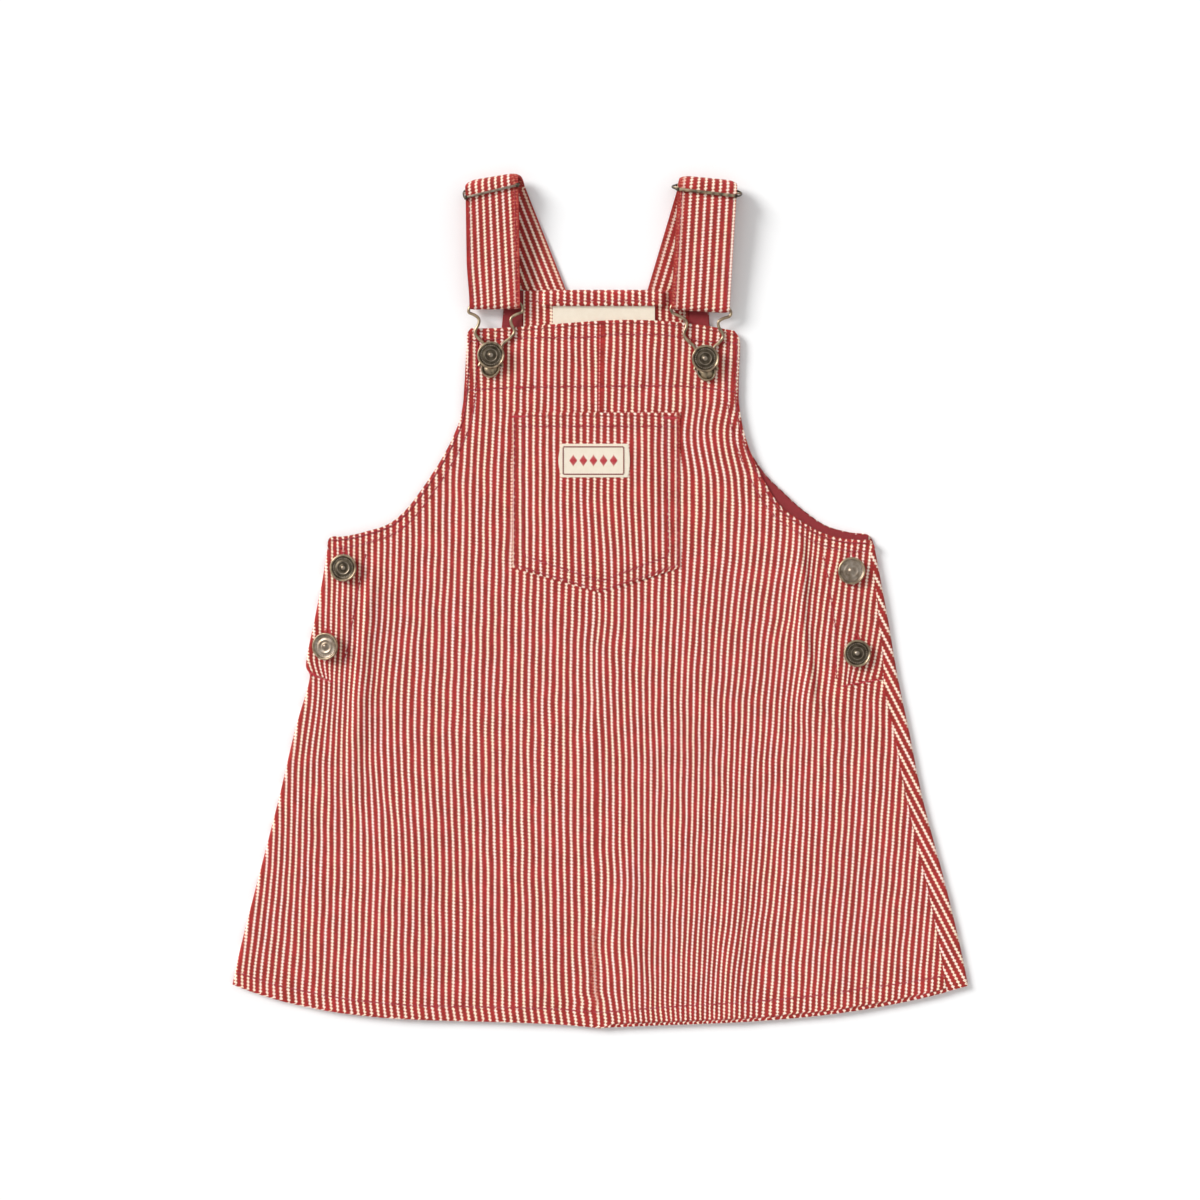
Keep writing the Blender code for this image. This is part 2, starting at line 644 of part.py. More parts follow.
def plate_mesh(outline):
    """The hook's plate: a flat outline, extruded."""
    curve = bpy.data.curves.new("plate", 'CURVE')
    curve.dimensions = '2D'
    curve.fill_mode = 'BOTH'
    curve.extrude = PLATE_THICKNESS / 2 * MM
    spline = curve.splines.new('POLY')
    spline.points.add(len(outline) - 1)
    for target, (x, y) in zip(spline.points, outline):
        target.co = (x * MM, y * MM, 0.0, 1.0)
    spline.use_cyclic_u = True
    guide = bpy.data.objects.new("plate", curve)
    cutters.objects.link(guide)
    bpy.context.view_layer.update()
    depsgraph = bpy.context.evaluated_depsgraph_get()
    mesh = bpy.data.meshes.new_from_object(guide.evaluated_get(depsgraph))
    bpy.data.objects.remove(guide, do_unlink=True)
    mesh.transform(Matrix.Translation((0, 0, HOOK_MID * MM)))
    weld_mesh(mesh)
    return mesh


# ---------------------------------------------------------------------- buttons
def button(name, x, y, cloth_z, cap_base, tilt, material):
    """Tack button: a turned cap with a rim and a nub, on its shank, tilted in degrees."""
    drop = math.sin(math.radians(abs(tilt)))
    shank_end = GAP + SHANK_RADIUS * drop
    cap_base = max(cap_base, 2 * GAP + CAP_UNDER_RADIUS * drop)
    profile = [(radius, cap_base + CAP_HEIGHT + height) for radius, height in CAP_FACE]
    profile += [
        (BUTTON_RADIUS, cap_base + CAP_SIDE), (CAP_UNDER_RADIUS, cap_base),
        (SHANK_RADIUS, cap_base), (SHANK_RADIUS, shank_end), (0.0, shank_end),
    ]
    mesh = bpy.data.meshes.new(name)
    mesh.from_pydata([(r * MM, 0, z * MM) for r, z in profile],
                     [(i, i + 1) for i in range(len(profile) - 1)], [])
    piece = add_object(name, mesh, material)
    turned = piece.modifiers.new("turned", 'SCREW')
    turned.steps = SCREW_STEPS
    turned.render_steps = SCREW_STEPS
    turned.use_merge_vertices = True
    turned.merge_threshold = 0.00001
    piece.location = (x * MM, y * MM, cloth_z * MM)
    piece.rotation_euler = (0.0, math.radians(tilt), 0.0)
    return piece


def build():
    stripe = make_material("striped_twill", (0.47, 0.16, 0.14), 0.85)
    plain = make_material("plain_red_cotton", (0.25, 0.02, 0.025), 0.85)
    cream = make_material("cream_label", (0.83, 0.73, 0.62), 0.8)
    brass = make_material("antique_brass", (0.27, 0.19, 0.11), 0.4, metallic=1.0)

    back_panel(stripe)
    patch("back_facing", BACK_FACING, lambda x, y: FACING_MID, stripe)
    armhole_facing("armhole_facing_left", -1, plain)
    armhole_facing("armhole_facing_right", 1, plain)
    patch("neck_label", NECK_LABEL, lambda x, y: LABEL_MID, cream)
    front_panel("front_left", -1, stripe)
    front_panel("front_right", 1, stripe)
    chest_pocket(stripe)
    pocket_top = GAP + CLOTH
    patch("pocket_label", POCKET_LABEL,
          lambda x, y: front_top(x, y) + pocket_top + GAP + THIN / 2, cream)

    for spec, centre in zip(STRAPS, BIB_BUTTONS):
        strap(spec, stripe)
        slider(spec, brass)
        hook(spec, centre, brass)
        button("bib_button_" + spec.side, *centre, BIB_TOP, CAP_OVER_HOOK, 0.0, brass)
    for spec in SIDE_BUTTONS:
        button(spec.name, spec.x, spec.y, front_top(spec.x, spec.y),
               CAP_OVER_CLOTH, spec.tilt, brass)


clear_scene()
dress = collection("pinafore_dress")
cutters = collection("helpers")
build()
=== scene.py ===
"""Looks of a toddler's pinafore dress: striped twill, sewing and antique brass.

The dress lies flat with its front up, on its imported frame.  Lengths are
millimetres until a mesh is made.  X is to the right of someone looking at the
front, +Y points to the straps and +Z is up.
"""
import math
from collections import namedtuple

import bmesh
import bpy
from mathutils import Matrix, Vector, noise


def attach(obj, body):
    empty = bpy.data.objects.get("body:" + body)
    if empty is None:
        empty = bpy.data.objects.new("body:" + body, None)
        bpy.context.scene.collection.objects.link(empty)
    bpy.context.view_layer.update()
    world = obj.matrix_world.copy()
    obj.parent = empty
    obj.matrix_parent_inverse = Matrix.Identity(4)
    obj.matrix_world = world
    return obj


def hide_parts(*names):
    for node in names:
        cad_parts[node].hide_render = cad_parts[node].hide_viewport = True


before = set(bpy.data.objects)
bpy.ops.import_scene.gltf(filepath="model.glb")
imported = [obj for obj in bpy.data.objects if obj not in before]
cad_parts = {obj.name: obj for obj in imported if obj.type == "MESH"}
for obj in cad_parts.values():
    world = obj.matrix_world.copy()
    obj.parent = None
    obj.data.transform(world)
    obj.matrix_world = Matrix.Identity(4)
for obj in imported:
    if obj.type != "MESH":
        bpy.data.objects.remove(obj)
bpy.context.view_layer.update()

bl_info = {
    "name": "Pinafore dress looks",
    "version": (1, 0, 0),
    "blender": (4, 5, 0),
    "location": "View3D > Sidebar > Pinafore",
    "description": "Dresses the flat pinafore in striped twill, thread and brass",
    "category": "Object",
}

MM = 0.001


def table(kind, *rows):
    """Rows that name their fields."""
    return tuple(kind(*row) for row in rows)


def linear(code):
    """An sRGB hex colour as linear red, green and blue."""
    channels = [int(code[index:index + 2], 16) / 255 for index in (1, 3, 5)]
    return tuple(c / 12.92 if c <= 0.04045 else ((c + 0.055) / 1.055) ** 2.4 for c in channels)


# ---------------- shapes shared with the solids
CLOTH = 1.2  # wall of the panels and the pocket
THIN = 1.0  # wall of the facings and labels
STRAP = 1.5  # wall of the straps
GAP = 0.3  # clearance between pieces

BACK_MID = CLOTH / 2  # heights of the middles of the layers
FACING_MID = CLOTH + GAP + THIN / 2
LABEL_MID = FACING_MID + THIN + GAP
BIB_UNDER = CLOTH + GAP + THIN + GAP  # undersides of the front: on the facings
SKIRT_UNDER = CLOTH + 0.7  # and on the back, where it lies looser
LABEL_LIFT = THIN + GAP
BIB_TOP = BIB_UNDER + CLOTH

# A course is a line across a panel: left edge, centre front, right edge.
Course = namedtuple("Course", "left_x left_y centre_y right_x right_y")
# A side course adds how far the seam lies inside the side fold, and how far
# each half of the line bows down on its way to the side.
Side = namedtuple("Side", "left_x left_y centre_y right_x right_y wrap bow_left bow_right")

FRONT_BIB = table(
    Course,
    (-71.0, 149.0, 153.0, 73.2, 147.6),  # top edge
    (-72.9, 146.6, 150.2, 75.7, 144.0),  # rounded corner
    (-73.5, 139.0, 140.2, 76.2, 137.5),
    (-74.8, 115.0, 117.2, 75.4, 113.9),
    (-76.5, 101.2, 99.0, 76.8, 100.1),
    (-81.2, 88.6, 82.5, 79.8, 87.5),
    (-88.0, 75.9, 66.0, 84.2, 75.9),  # armhole begins to sweep out
    (-96.6, 62.7, 48.4, 91.1, 62.2),
    (-106.0, 50.2, 30.3, 99.0, 50.9),
    (-116.2, 41.6, 13.8, 109.5, 43.2),
    (-128.7, 37.4, 0.0, 122.1, 36.3),
    (-139.6, 34.9, -12.1, 135.3, 33.1),
    (-148.4, 34.2, -24.8, 147.6, 32.6),  # underarm corner
)
BACK_BIB = table(
    Course,
    (-53.1, 170.1, 169.5, 59.1, 170.0),  # back neck edge
    (-54.6, 148.5, 148.5, 60.2, 148.5),
    (-60.5, 121.0, 121.0, 66.5, 121.0),
    (-69.0, 93.5, 93.5, 75.9, 93.5),
    (-77.6, 75.9, 71.5, 88.6, 71.5),
    (-86.9, 63.3, 55.0, 100.2, 59.4),
    (-98.1, 50.6, 38.5, 110.5, 50.0),
    (-112.2, 41.8, 22.0, 123.2, 41.2),
    (-128.7, 36.3, 5.5, 136.2, 37.3),
    (-142.0, 31.4, -11.0, 147.2, 35.6),
)
SKIRT = table(
    Side,
    (-150.2, 28.2, -37.4, 150.6, 28.2, 2.8, 0.0, 0.0),  # underarm
    (-152.9, 11.0, -55.0, 154.3, 8.3, 3.6, 0.0, 0.0),
    (-157.3, -11.0, -74.3, 157.9, -11.0, 4.9, 0.0, 0.0),
    (-161.9, -34.5, -90.8, 161.2, -31.0, 6.3, 0.0, 0.0),
    (-160.0, -43.5, -104.5, 163.9, -46.0, 8.0, 0.0, 0.0),  # opening ends
    (-168.0, -71.5, -126.5, 169.3, -71.5, 8.2, 0.0, 0.0),
    (-177.1, -110.0, -151.3, 177.1, -110.0, 8.6, 1.1, 0.0),
    (-189.2, -156.8, -181.5, 189.5, -156.8, 10.0, 3.3, 1.4),
    (-197.5, -189.2, -209.0, 197.5, -190.3, 11.2, 6.2, 4.6),
    (-202.3, -210.9, -235.0, 201.8, -211.6, 12.1, 8.7, 6.8),  # hem
)
CENTRE_X = -0.6  # centre front seam
BIB_BOWS = (0.8, -2.4)  # how far the halves of the bib's top edge sag
BIB_BOW_REACH = 2.5  # the courses over which that fades
HEM_POWERS = (2.0, 1.5)  # these move the bows of the two halves outwards
FOLD_INSET = 2.0  # the side fold's height is taken this far inside it

# A fold is a soft ridge (or, with a negative height, a trough) along a line.
Fold = namedtuple("Fold", "top_x top_y end_x end_y half_width height")
FOLDS = table(
    Fold,
    (-124.0, 28.0, -135.5, -95.0, 4.5, 1.3),
    (-138.0, 20.0, -144.0, -42.0, 6.5, 0.9),
    (109.0, 34.0, 114.0, -52.0, 4.0, 1.1),
    (128.0, 14.0, 134.0, -62.0, 11.0, 1.3),
    (118.0, -58.0, 139.0, -84.0, 5.0, -0.5),
    (-96.0, -60.0, -118.0, -232.0, 22.0, 1.2),
    (-38.0, -110.0, -44.0, -232.0, 18.0, 0.8),
    (14.0, -120.0, 20.0, -234.0, 9.0, 0.9),
    (42.0, -90.0, 50.0, -232.0, 15.0, 1.1),
    (69.0, -140.0, 76.0, -230.0, 8.0, 1.0),
    (108.0, -100.0, 126.0, -226.0, 18.0, 1.1),
)
FOLD_LIMIT = 4.7  # the front's underside is nowhere higher
FOLD_FADE = 0.25  # share of a fold's length over which it comes and goes
FOLD_OVERRUN = 12.0  # a fold runs on this far past its end
BIB_FOOT, BIB_RISE = -30.0, 40.0  # where the front climbs onto the facings
LABEL_FOOT, LABEL_RISE = 112.0, 25.0  # where the bib climbs onto the label
LABEL_MIDDLE, LABEL_REACH = 1.6, 31.0  # the middle of that rise, and half its width
LABEL_BESIDE = 12.0  # how far it slopes down beside the label

POCKET_LEFT, POCKET_RIGHT = -48.7, 43.5
POCKET_TOP, POCKET_SIDE, POCKET_POINT = 102.6, 17.8, 3.9
Area = namedtuple("Area", "left right top bottom")
POCKET_LABEL = Area(-22.0, 15.2, 85.6, 67.2)
NECK_TAPE = Area(-26.4, 29.7, 161.7, 140.5)  # what shows of the label
BACK_FACING = Area(-41.4, 44.8, 169.6, 136.0)
NECK_AREA = Area(-42.4, 44.8, 169.9, 136.0)  # the facing, as it shows
NECK_BAND_FOOT, NECK_BAND_TOP = 161.5, 168.2  # the band that lies over the label
NECK_BAND_RISE = 2.9
NECK_BAND_BESIDE, NECK_BAND_STEP, NECK_BAND_ROLL = 5.0, 0.4, 1.7  # its slopes' widths
ARM_FACING_INSET = 0.4  # from the back's edge
ARM_FACING_WIDTH = 14.0
ARM_FACING_NECK = 10.1  # its width at the neck
ARM_FACING_SPREAD = 5.0  # the courses over which it widens
SCALLOP, SCALLOP_PITCH = 0.3, 2.5  # its stitches pull its edge into scallops
FACING_RIPPLE, FACING_RIPPLE_SIZE = 0.12, (6.0, 6.0)

WIRE = 1.0  # radius of the solids' wire, which sets where the straps lie
LOOP = WIRE + GAP + STRAP / 2
OUTER_LOOP = LOOP + STRAP + GAP
SLIDER_PITCH = OUTER_LOOP + STRAP / 2 + GAP + WIRE + 0.2
SLIDER_TILT = math.radians(75)
SLIDER_Z = WIRE + SLIDER_PITCH * math.sin(SLIDER_TILT)
HOOK_BAR_Z = BIB_UNDER + STRAP + GAP + WIRE
STRAP_DROP = 20.0  # length over which the part behind comes down to the table
FREE_END = 9.0
FOLD_REACH = OUTER_LOOP + 2.2  # how far the fold stands past the crease
STRAP_PLAY = 0.2  # between the strap's sides and the slider's knots
BACK_NECK_Y = 170.15  # where the straps start

# A strap: its foot, its length to the crease at the slider, its lean and its crease's, in
# degrees, and how far its part behind slips and drifts to the right.  The hook: how far
# it sways, and its shoulders past its bends.  The stripes: where the first and the last
# cream one cross the foot and the crease, the pitches between, and the frayed side.
# The slider: its shift along the crease, its loops past the strap, the radii of its bar
# and knots, and how far its upper bar is askew, in mm a mm.
StrapSpec = namedtuple("StrapSpec", "side width bottom_x bottom_y length lean crease "
                       "slip drift sway shoulder_left shoulder_right "
                       "foot_first foot_last fold_first fold_last stripes frayed "
                       "nip shift loop_left loop_right bar knot askew")
STRAPS = (
    StrapSpec("left", width=28.9, bottom_x=-58.6, bottom_y=162.0, length=63.1, lean=-0.7,
              crease=9.5, slip=3.1, drift=0.06,
              sway=1.3, shoulder_left=-3.0, shoulder_right=-0.6,
              foot_first=-10.9, foot_last=12.0, fold_first=-12.1, fold_last=9.2,
              stripes=6, frayed=1, nip=1.2,
              shift=-0.6, loop_left=0.8, loop_right=0.8, bar=0.7, knot=1.2, askew=0.07),
    StrapSpec("right", width=32.0, bottom_x=54.6, bottom_y=160.8, length=63.6, lean=3.36,
              crease=-5.6, slip=-0.2, drift=-0.153,
              sway=0.3, shoulder_left=0.3, shoulder_right=0.3,
              foot_first=-13.0, foot_last=15.24, fold_first=-13.13, fold_last=14.97,
              stripes=7, frayed=-1, nip=0.0,
              shift=-0.2, loop_left=2.9, loop_right=2.9, bar=0.9, knot=1.0, askew=-0.02),
)

BUTTON_RADIUS = 7.3
CAP_UNDER_RADIUS = 6.5
SHANK_RADIUS = 2.4
CAP_HEIGHT = 2.4
HOOK_MID = BIB_TOP + GAP + WIRE
CAP_OVER_HOOK = 2 * GAP + 2 * WIRE
CAP_OVER_CLOTH = 0.9
BIB_BUTTONS = ((-60.1, 134.0), (57.2, 132.1))
# A button at the side openings: its place, its tilt in degrees, and whether it is worn.
ButtonSpec = namedtuple("ButtonSpec", "name x y tilt rubbed")
SIDE_BUTTONS = table(
    ButtonSpec,
    ("side_button_left_upper", -140.5, 17.6, -9.0, False),
    ("side_button_left_lower", -149.8, -25.4, -16.0, True),
    ("side_button_right_upper", 137.4, 16.0, 0.0, True),
    ("side_button_right_lower", 140.4, -29.2, 3.0, False),
)
# The right half of a hook's wire, from the strap down round the button.
Bend = namedtuple("Bend", "across up")
HOOK_BENDS = table(
    Bend,
    (15.2, 28.6), (16.2, 26.4), (15.4, 24.2), (11.6, 22.6), (8.9, 20.5),
    (9.0, 17.3), (10.6, 14.1), (10.4, 11.8), (8.4, 9.4), (5.4, 6.4),
    (4.8, 2.5), (5.1, -2.0), (6.4, -6.0),
)
PLATE_TOP_RADIUS = 5.9  # the keyhole plate: round the shank, and its lower lobe
PLATE_LOBE_Y, PLATE_LOBE_RADIUS = -6.9, 5.2
PLATE_WAIST = 25  # degrees below level at which the two meet

# ---------------- shapes that only show here
STRIPE = 3.75  # pitch of the cream stripes in the cloth
MESH_STEP = 1.5  # spacing of the front's mesh
BACK_STEP = 2.4  # and of the back's
HEM_ZONE = -190.0  # the hem's turned band lies below this
HEM_RISE = 0.35  # how far it stands up
HEM_STEP = 0.8  # the width of the slope at its upper edge
ROPING, ROPING_PITCH = 0.16, 6.0  # the slanting ripples along it
ROPING_SLANT = 0.7
# Along the hem: how high its turned band is, and how its stripes slant, across for down.
HemSpot = namedtuple("HemSpot", "x band lean")
HEM = table(
    HemSpot,
    (-205.0, 7.7, 0.14), (-157.0, 8.3, 0.16), (-100.0, 7.8, 0.19),
    (-44.0, 8.2, 0.14), (-20.0, 8.4, 0.12), (0.0, 8.5, 0.14),
    (12.0, 8.7, 0.18), (24.0, 9.2, 0.18), (44.0, 10.1, 0.08),
    (77.0, 10.5, 0.0), (145.0, 11.5, 0.0), (198.0, 8.6, 0.0),
)
HEM_STITCH_START = SKIRT[-1].left_x + 1.5
HEM_EDGE = 1.7  # how much of the turned cloth peeps out under the hem
HEM_EDGE_FROM, HEM_EDGE_FADE = -4.0, 16.0  # it starts here, over that length
HEM_ROLL_FROM = 8.0  # to the right of this the hem's edge is rolled
SEAM_REACH = 6.0  # distance from a stitch line that the cloth still knows
GROOVE, GROOVE_WIDTH = 0.25, 2.0  # a stitch line lies in a groove
PUCKER_SIZE, PUCKER_REACH = (4.0, 4.0), 3.0  # the cloth beside it is puckered
FRONT_PUCKER, POCKET_PUCKER = 0.35, 0.25
RIPPLE, RIPPLE_SIZE = 0.22, (14.0, 40.0)  # slow ripples in the front
CLOTH_LIFT, DEEPEST = 0.1, 0.15  # of the front, from the height of its solid
SUNK = 0.12  # how deep the stitches lie in the cloth
# The centre front seam wanders a little: its x at heights down the dress.
SeamSpot = namedtuple("SeamSpot", "y x")
CENTRE_SEAM = table(
    SeamSpot,
    (160.0, -1.8), (90.0, -2.0), (0.0, -2.9), (-130.0, -3.0),
    (-200.0, -2.2), (-224.0, -0.8), (-240.0, 0.2),
)
FELL, FELL_WIDTH = 0.05, 1.5  # the left panel's edge stands over the right's
SEAM_GAP = 0.02  # half of the gap left at the side seams

# Where the stripes run: x of numbered cream stripes at heights down the dress,
# counted from the centre seam.
Left = namedtuple("Left", "y m53 m49 m43 m37 m31 m25 m13 m1")
LEFT_NUMBERS = (-53, -49, -43, -37, -31, -25, -13, -1)
LEFT_LINES = table(
    Left,
    (150.0, -200.0, -184.5, -161.5, -138.5, -115.5, -92.8, -46.5, -2.9),
    (108.0, -199.0, -183.5, -160.0, -137.5, -114.5, -91.2, -47.5, -2.7),
    (66.0, -196.0, -181.0, -158.0, -137.0, -115.5, -93.8, -48.8, -2.8),
    (33.0, -189.0, -174.5, -153.5, -135.3, -115.0, -94.0, -49.2, -3.0),
    (-11.0, -187.5, -174.0, -154.0, -135.9, -116.6, -95.7, -50.2, -4.1),
    (-33.0, -186.5, -173.5, -154.5, -137.0, -118.8, -96.8, -50.6, -4.7),
    (-55.0, -188.0, -175.0, -155.3, -138.6, -120.4, -97.9, -51.2, -4.9),
    (-88.0, -190.0, -178.5, -158.9, -139.1, -120.0, -97.9, -51.4, -4.8),
    (-143.0, -193.0, -180.0, -160.6, -138.6, -117.2, -95.7, -50.6, -4.7),
    (-198.0, -199.3, -185.5, -162.8, -140.3, -118.5, -96.0, -50.2, -3.5),
    (-240.0, -204.0, -190.0, -165.5, -142.0, -119.5, -96.8, -50.0, -3.2),
)
Right = namedtuple("Right", "y p0 p5 p17 p23 p29 p33 p35 p41 p53")
RIGHT_NUMBERS = (0, 5, 17, 23, 29, 33, 35, 41, 53)
RIGHT_LINES = table(
    Right,
    (150.0, -0.4, 18.7, 64.4, 87.2, 110.0, 125.0, 133.0, 156.0, 201.0),
    (108.0, -0.9, 17.4, 62.5, 85.3, 108.0, 123.0, 130.8, 153.0, 198.0),
    (90.0, -1.2, 17.3, 60.3, 82.0, 105.5, 121.0, 128.5, 151.0, 196.0),
    (66.0, -1.0, 17.3, 64.2, 87.0, 109.0, 122.5, 130.0, 151.5, 196.0),
    (33.0, -0.6, 17.3, 63.8, 86.9, 108.9, 119.9, 127.6, 148.5, 194.0),
    (-11.0, -0.8, 17.1, 60.5, 82.0, 103.4, 115.0, 121.5, 143.5, 187.0),
    (-33.0, -1.6, 16.6, 58.9, 80.0, 100.7, 113.9, 119.5, 141.4, 184.0),
    (-55.0, -1.7, 16.3, 57.8, 78.1, 98.5, 110.6, 117.0, 139.2, 182.0),
    (-88.0, -0.3, 17.4, 57.2, 76.5, 96.3, 109.5, 116.0, 138.0, 181.0),
    (-143.0, -0.2, 17.4, 55.6, 74.3, 93.5, 106.7, 113.6, 134.8, 177.0),
    (-209.0, 0.0, 17.6, 52.3, 68.8, 86.9, 101.8, 109.0, 129.3, 171.5),
    (-245.0, 0.4, 18.0, 51.5, 67.0, 85.0, 100.3, 107.5, 128.0, 170.0),
)

BESIDE_SEAM = 0.55  # the lowest stripe number on a panel, beside the centre seam
HIDDEN_Y = 60.0  # under the pocket the right panel gains a stripe, and then
BESIDE_LOWER_SEAM = -0.4  # this is its lowest number
STRIPE_WANDER = 0.10  # the stripes wander by that share of their pitch
WANDER_SIZE = (9.0, 16.0)

# Straight stripes: their pitch and where they are counted from.
BACK_PITCH, BACK_START = 3.667, 0.65
BACK_LEAN, BACK_LEAN_REACH = 0.061, 120.0  # the back's lean towards the right fold
STRIP_PITCH, STRIP_START, STRIP_LEAN = 4.125, 80.1, 0.52
FACING_PITCH, FACING_START = 3.735, 42.2
POCKET_PITCH, POCKET_START = 3.71, 44.2
POCKET_WANDER = 0.06  # wander on the pocket, and where its stripes are drawn aside
POCKET_WANDER_SIZE = (7.0, 15.0)
POCKET_PULL, POCKET_PULL_X, POCKET_PULL_WIDTH = 2.0, 6.0, 22.0
POCKET_PULL_Y, POCKET_PULL_FADE = 60.0, 45.0

# Where ripples push the stripes aside: the place, how far it reaches, how far they move.
Sway = namedtuple("Sway", "x y reach_x reach_y shift")
SWAYS = table(
    Sway,
    (8.0, -154.0, 14.0, 13.0, 0.9), (6.0, -190.0, 22.0, 12.0, -0.7),
    (12.0, -216.0, 18.0, 14.0, 0.8), (74.0, -176.0, 10.0, 16.0, 0.6),
    (72.0, -206.0, 10.0, 14.0, -0.7), (4.0, -30.0, 16.0, 14.0, -0.8),
    (-8.0, -220.5, 13.0, 3.5, 0.9), (-10.0, -230.0, 14.0, 6.0, 0.35),
    (6.0, -228.0, 11.0, 8.0, 1.6),
)

# Above the foot of each side opening the stripes are pulled aside: where its seam
# starts and how it climbs outwards, how high the pull reaches and how far it moves them.
Pull = namedtuple("Pull", "side x y climb reach shift")
PULLS = table(
    Pull,
    (-1, -146.5, -45.1, 0.39, 9.0, 3.6),
    (1, 132.0, -47.3, 0.17, 34.0, -3.6),
)
PULL_FADE, PULL_POWER = 7.0, 1.6
LOST_BEYOND = 3.0  # widths from its middle at which a sway or a crease is lost

# Near the hem one stripe is frayed: how much, and its reach in pitches and down the dress.
FRAYED_STRIPE, STRIPE_FRAY, FRAY_WIDTH = -1, 0.8, 0.4
FRAY_TOP, FRAY_FOOT, FRAY_FADE = -180.0, -226.0, 8.0

# Sharp creases: the line, which side of it is steep (-1 is left of the way
# down), how far the soft side reaches, and the height.
Crease = namedtuple("Crease", "line steep_side soft height")
CREASES = table(
    Crease,
    (((-125.4, 22.0), (-129.3, -11.0), (-134.8, -44.0), (-137.5, -88.0)), 1, 3.5, 0.7),
    (((107.3, 42.4), (110.6, 28.6), (111.7, 10.5), (110.6, -12.1), (113.3, -25.9),
      (116.1, -39.6), (117.0, -56.0), (126.5, -67.0), (137.5, -80.0)), -1, 7.0, 1.1),
    (((3.3, -165.0), (6.6, -192.5), (13.8, -222.0)), 1, 3.0, 0.3),
    (((13.5, -154.0), (17.5, -181.0), (22.0, -214.0)), 1, 3.0, 0.15),
    (((80.0, -150.0), (75.9, -184.0), (69.0, -216.0)), -1, 5.0, 0.4),
)
STEEP_WIDTH = 1.0
CREASE_FADE = 14.0  # length over which a crease comes and goes

# Stitch lines that no edge gives.
BIB_TOP_STITCH = ((-73.7, 142.0), (-47.5, 143.6), (-21.0, 143.8), (-3.1, 144.2), (3.2, 145.5),
                  (26.0, 145.5), (41.8, 144.7), (53.7, 142.2), (69.4, 141.2), (75.9, 140.5))
BIB_FACING_STITCH = ((-75.4, 115.0), (-44.0, 116.6), (0.0, 117.2), (46.2, 117.2), (75.9, 113.9))
OPENING_STITCHES = (
    ((-128.7, 25.9), (-132.0, 11.0), (-135.3, -6.6), (-139.2, -27.5), (-142.5, -37.4)),
    ((122.1, 24.2), (124.9, 11.6), (126.5, -1.7), (128.7, -17.0), (129.3, -44.0)),
)
OPENING_FOOT_STITCHES = (
    ((-158.2, -40.5), (-153.0, -43.5), (-146.5, -45.1)),
    ((132.0, -47.3), (140.8, -45.7), (154.4, -43.5)),
)
SEAM_SPACING = 6.0  # between the points of a smooth stitch line
ARMHOLE_STITCHES = (1.4, 6.0)  # insets from the edge
ARMHOLE_STEPS = 3  # points to a course
EDGE_STEP = 0.05  # share of a course that tells which way an edge runs
CENTRE_STITCH = ((-0.3, 151.5), (-1.0, 103.2))
NECK_STITCH_Y, NECK_STITCH_INSET = 164.0, 1.0
FACING_STITCH = 1.0  # inset of the armhole facings' stitches
STRAP_STITCH = 2.0  # inset of the straps' stitches

# Bartacks: their middle, length and width, and how far they slope, in degrees.
Bartack = namedtuple("Bartack", "x y length width slope")
POCKET_BARTACKS = (Bartack(-44.8, 100.5, 7.2, 1.2, 0.0), Bartack(38.2, 99.8, 6.6, 1.2, -3.0))
FRONT_BARTACKS = (Bartack(-44.6, 116.6, 4.0, 1.2, 0.0), Bartack(-158.0, -40.6, 4.0, 1.4, -28.0))

# The pocket, and the bed that it presses into the bib.
POCKET_BED, BED_SLOPE = 0.5, 1.0
POCKET_WALL = 0.9
POCKET_COLUMNS, POCKET_STEPS = 62, 66  # of its mesh
POCKET_LIFT = 0.2
POCKET_PUFF, POCKET_PUFF_REACH = 0.9, 18.0
POCKET_HEM, POCKET_HEM_RISE = 7.4, 0.35  # height of its turned top, and its step
POCKET_STITCHES = (1.3, 6.2)  # insets of its two rows of stitches
POCKET_STITCH_TOP = 2.4  # they start this far below its top
POCKET_HEM_STITCH = 2.0  # inset of the ends of the row along its turned top
FOOT_UPRIGHT = 1.05  # how much longer an inset from its foot is upright
INNER_ROW_LEAN = 0.25  # the right rows lean in by this share of their inset
POCKET_FRAY = 0.7  # where its sides are frayed, and how wide

# The pocket's label, and the thread frame on it.
POCKET_TAPE = 0.4  # wall
TAPE_LIFT = 0.1
LABEL_BULGE = (1.7, 1.0)  # how far its left and right edges bow out
LABEL_WAIST = 0.3  # and in at its corners, as a share of that
LABEL_FRAME = Area(POCKET_LABEL.left + 1.4, POCKET_LABEL.right - 2.6,
                   POCKET_LABEL.top - 1.7, POCKET_LABEL.bottom + 1.7)
LOZENGES = 5
LOZENGE_HALF_WIDTH, LOZENGE_HALF_HEIGHT = 2.2, 3.4
LOZENGE_PITCH, LOZENGE_THREAD, LOZENGE_RISE = 0.42, 0.22, 0.15

# Each kind of unevenness has its own slice of the noise, so that no two are alike.
RIPPLES, FACING_RIPPLES, POCKET_PUCKERS = 0.0, 1.0, 2.0
STRIPES, POCKET_STRIPES, PUCKERS = 3.0, 5.0, 7.0


# ---------------- curves
def smooth(value):
    """Ease from 0 to 1 as value goes from 0 to 1."""
    value = min(max(value, 0.0), 1.0)
    return value * value * (3 - 2 * value)


def mix(start, end, share):
    return start + (end - start) * share


def uneven(x, y, size, kind):
    """Smooth noise from -1 to 1, in patches of about that width and length."""
    return noise.noise(Vector((x / size[0], y / size[1], kind)))


def curved(start, end, slope_in, slope_out, share):
    """A value between two, on the cubic that has these slopes at its ends."""
    rise = end - start
    curve = share * share * (3 * rise - 2 * slope_in - slope_out)
    curve += share ** 3 * (slope_in + slope_out - 2 * rise)
    return start + slope_in * share + curve


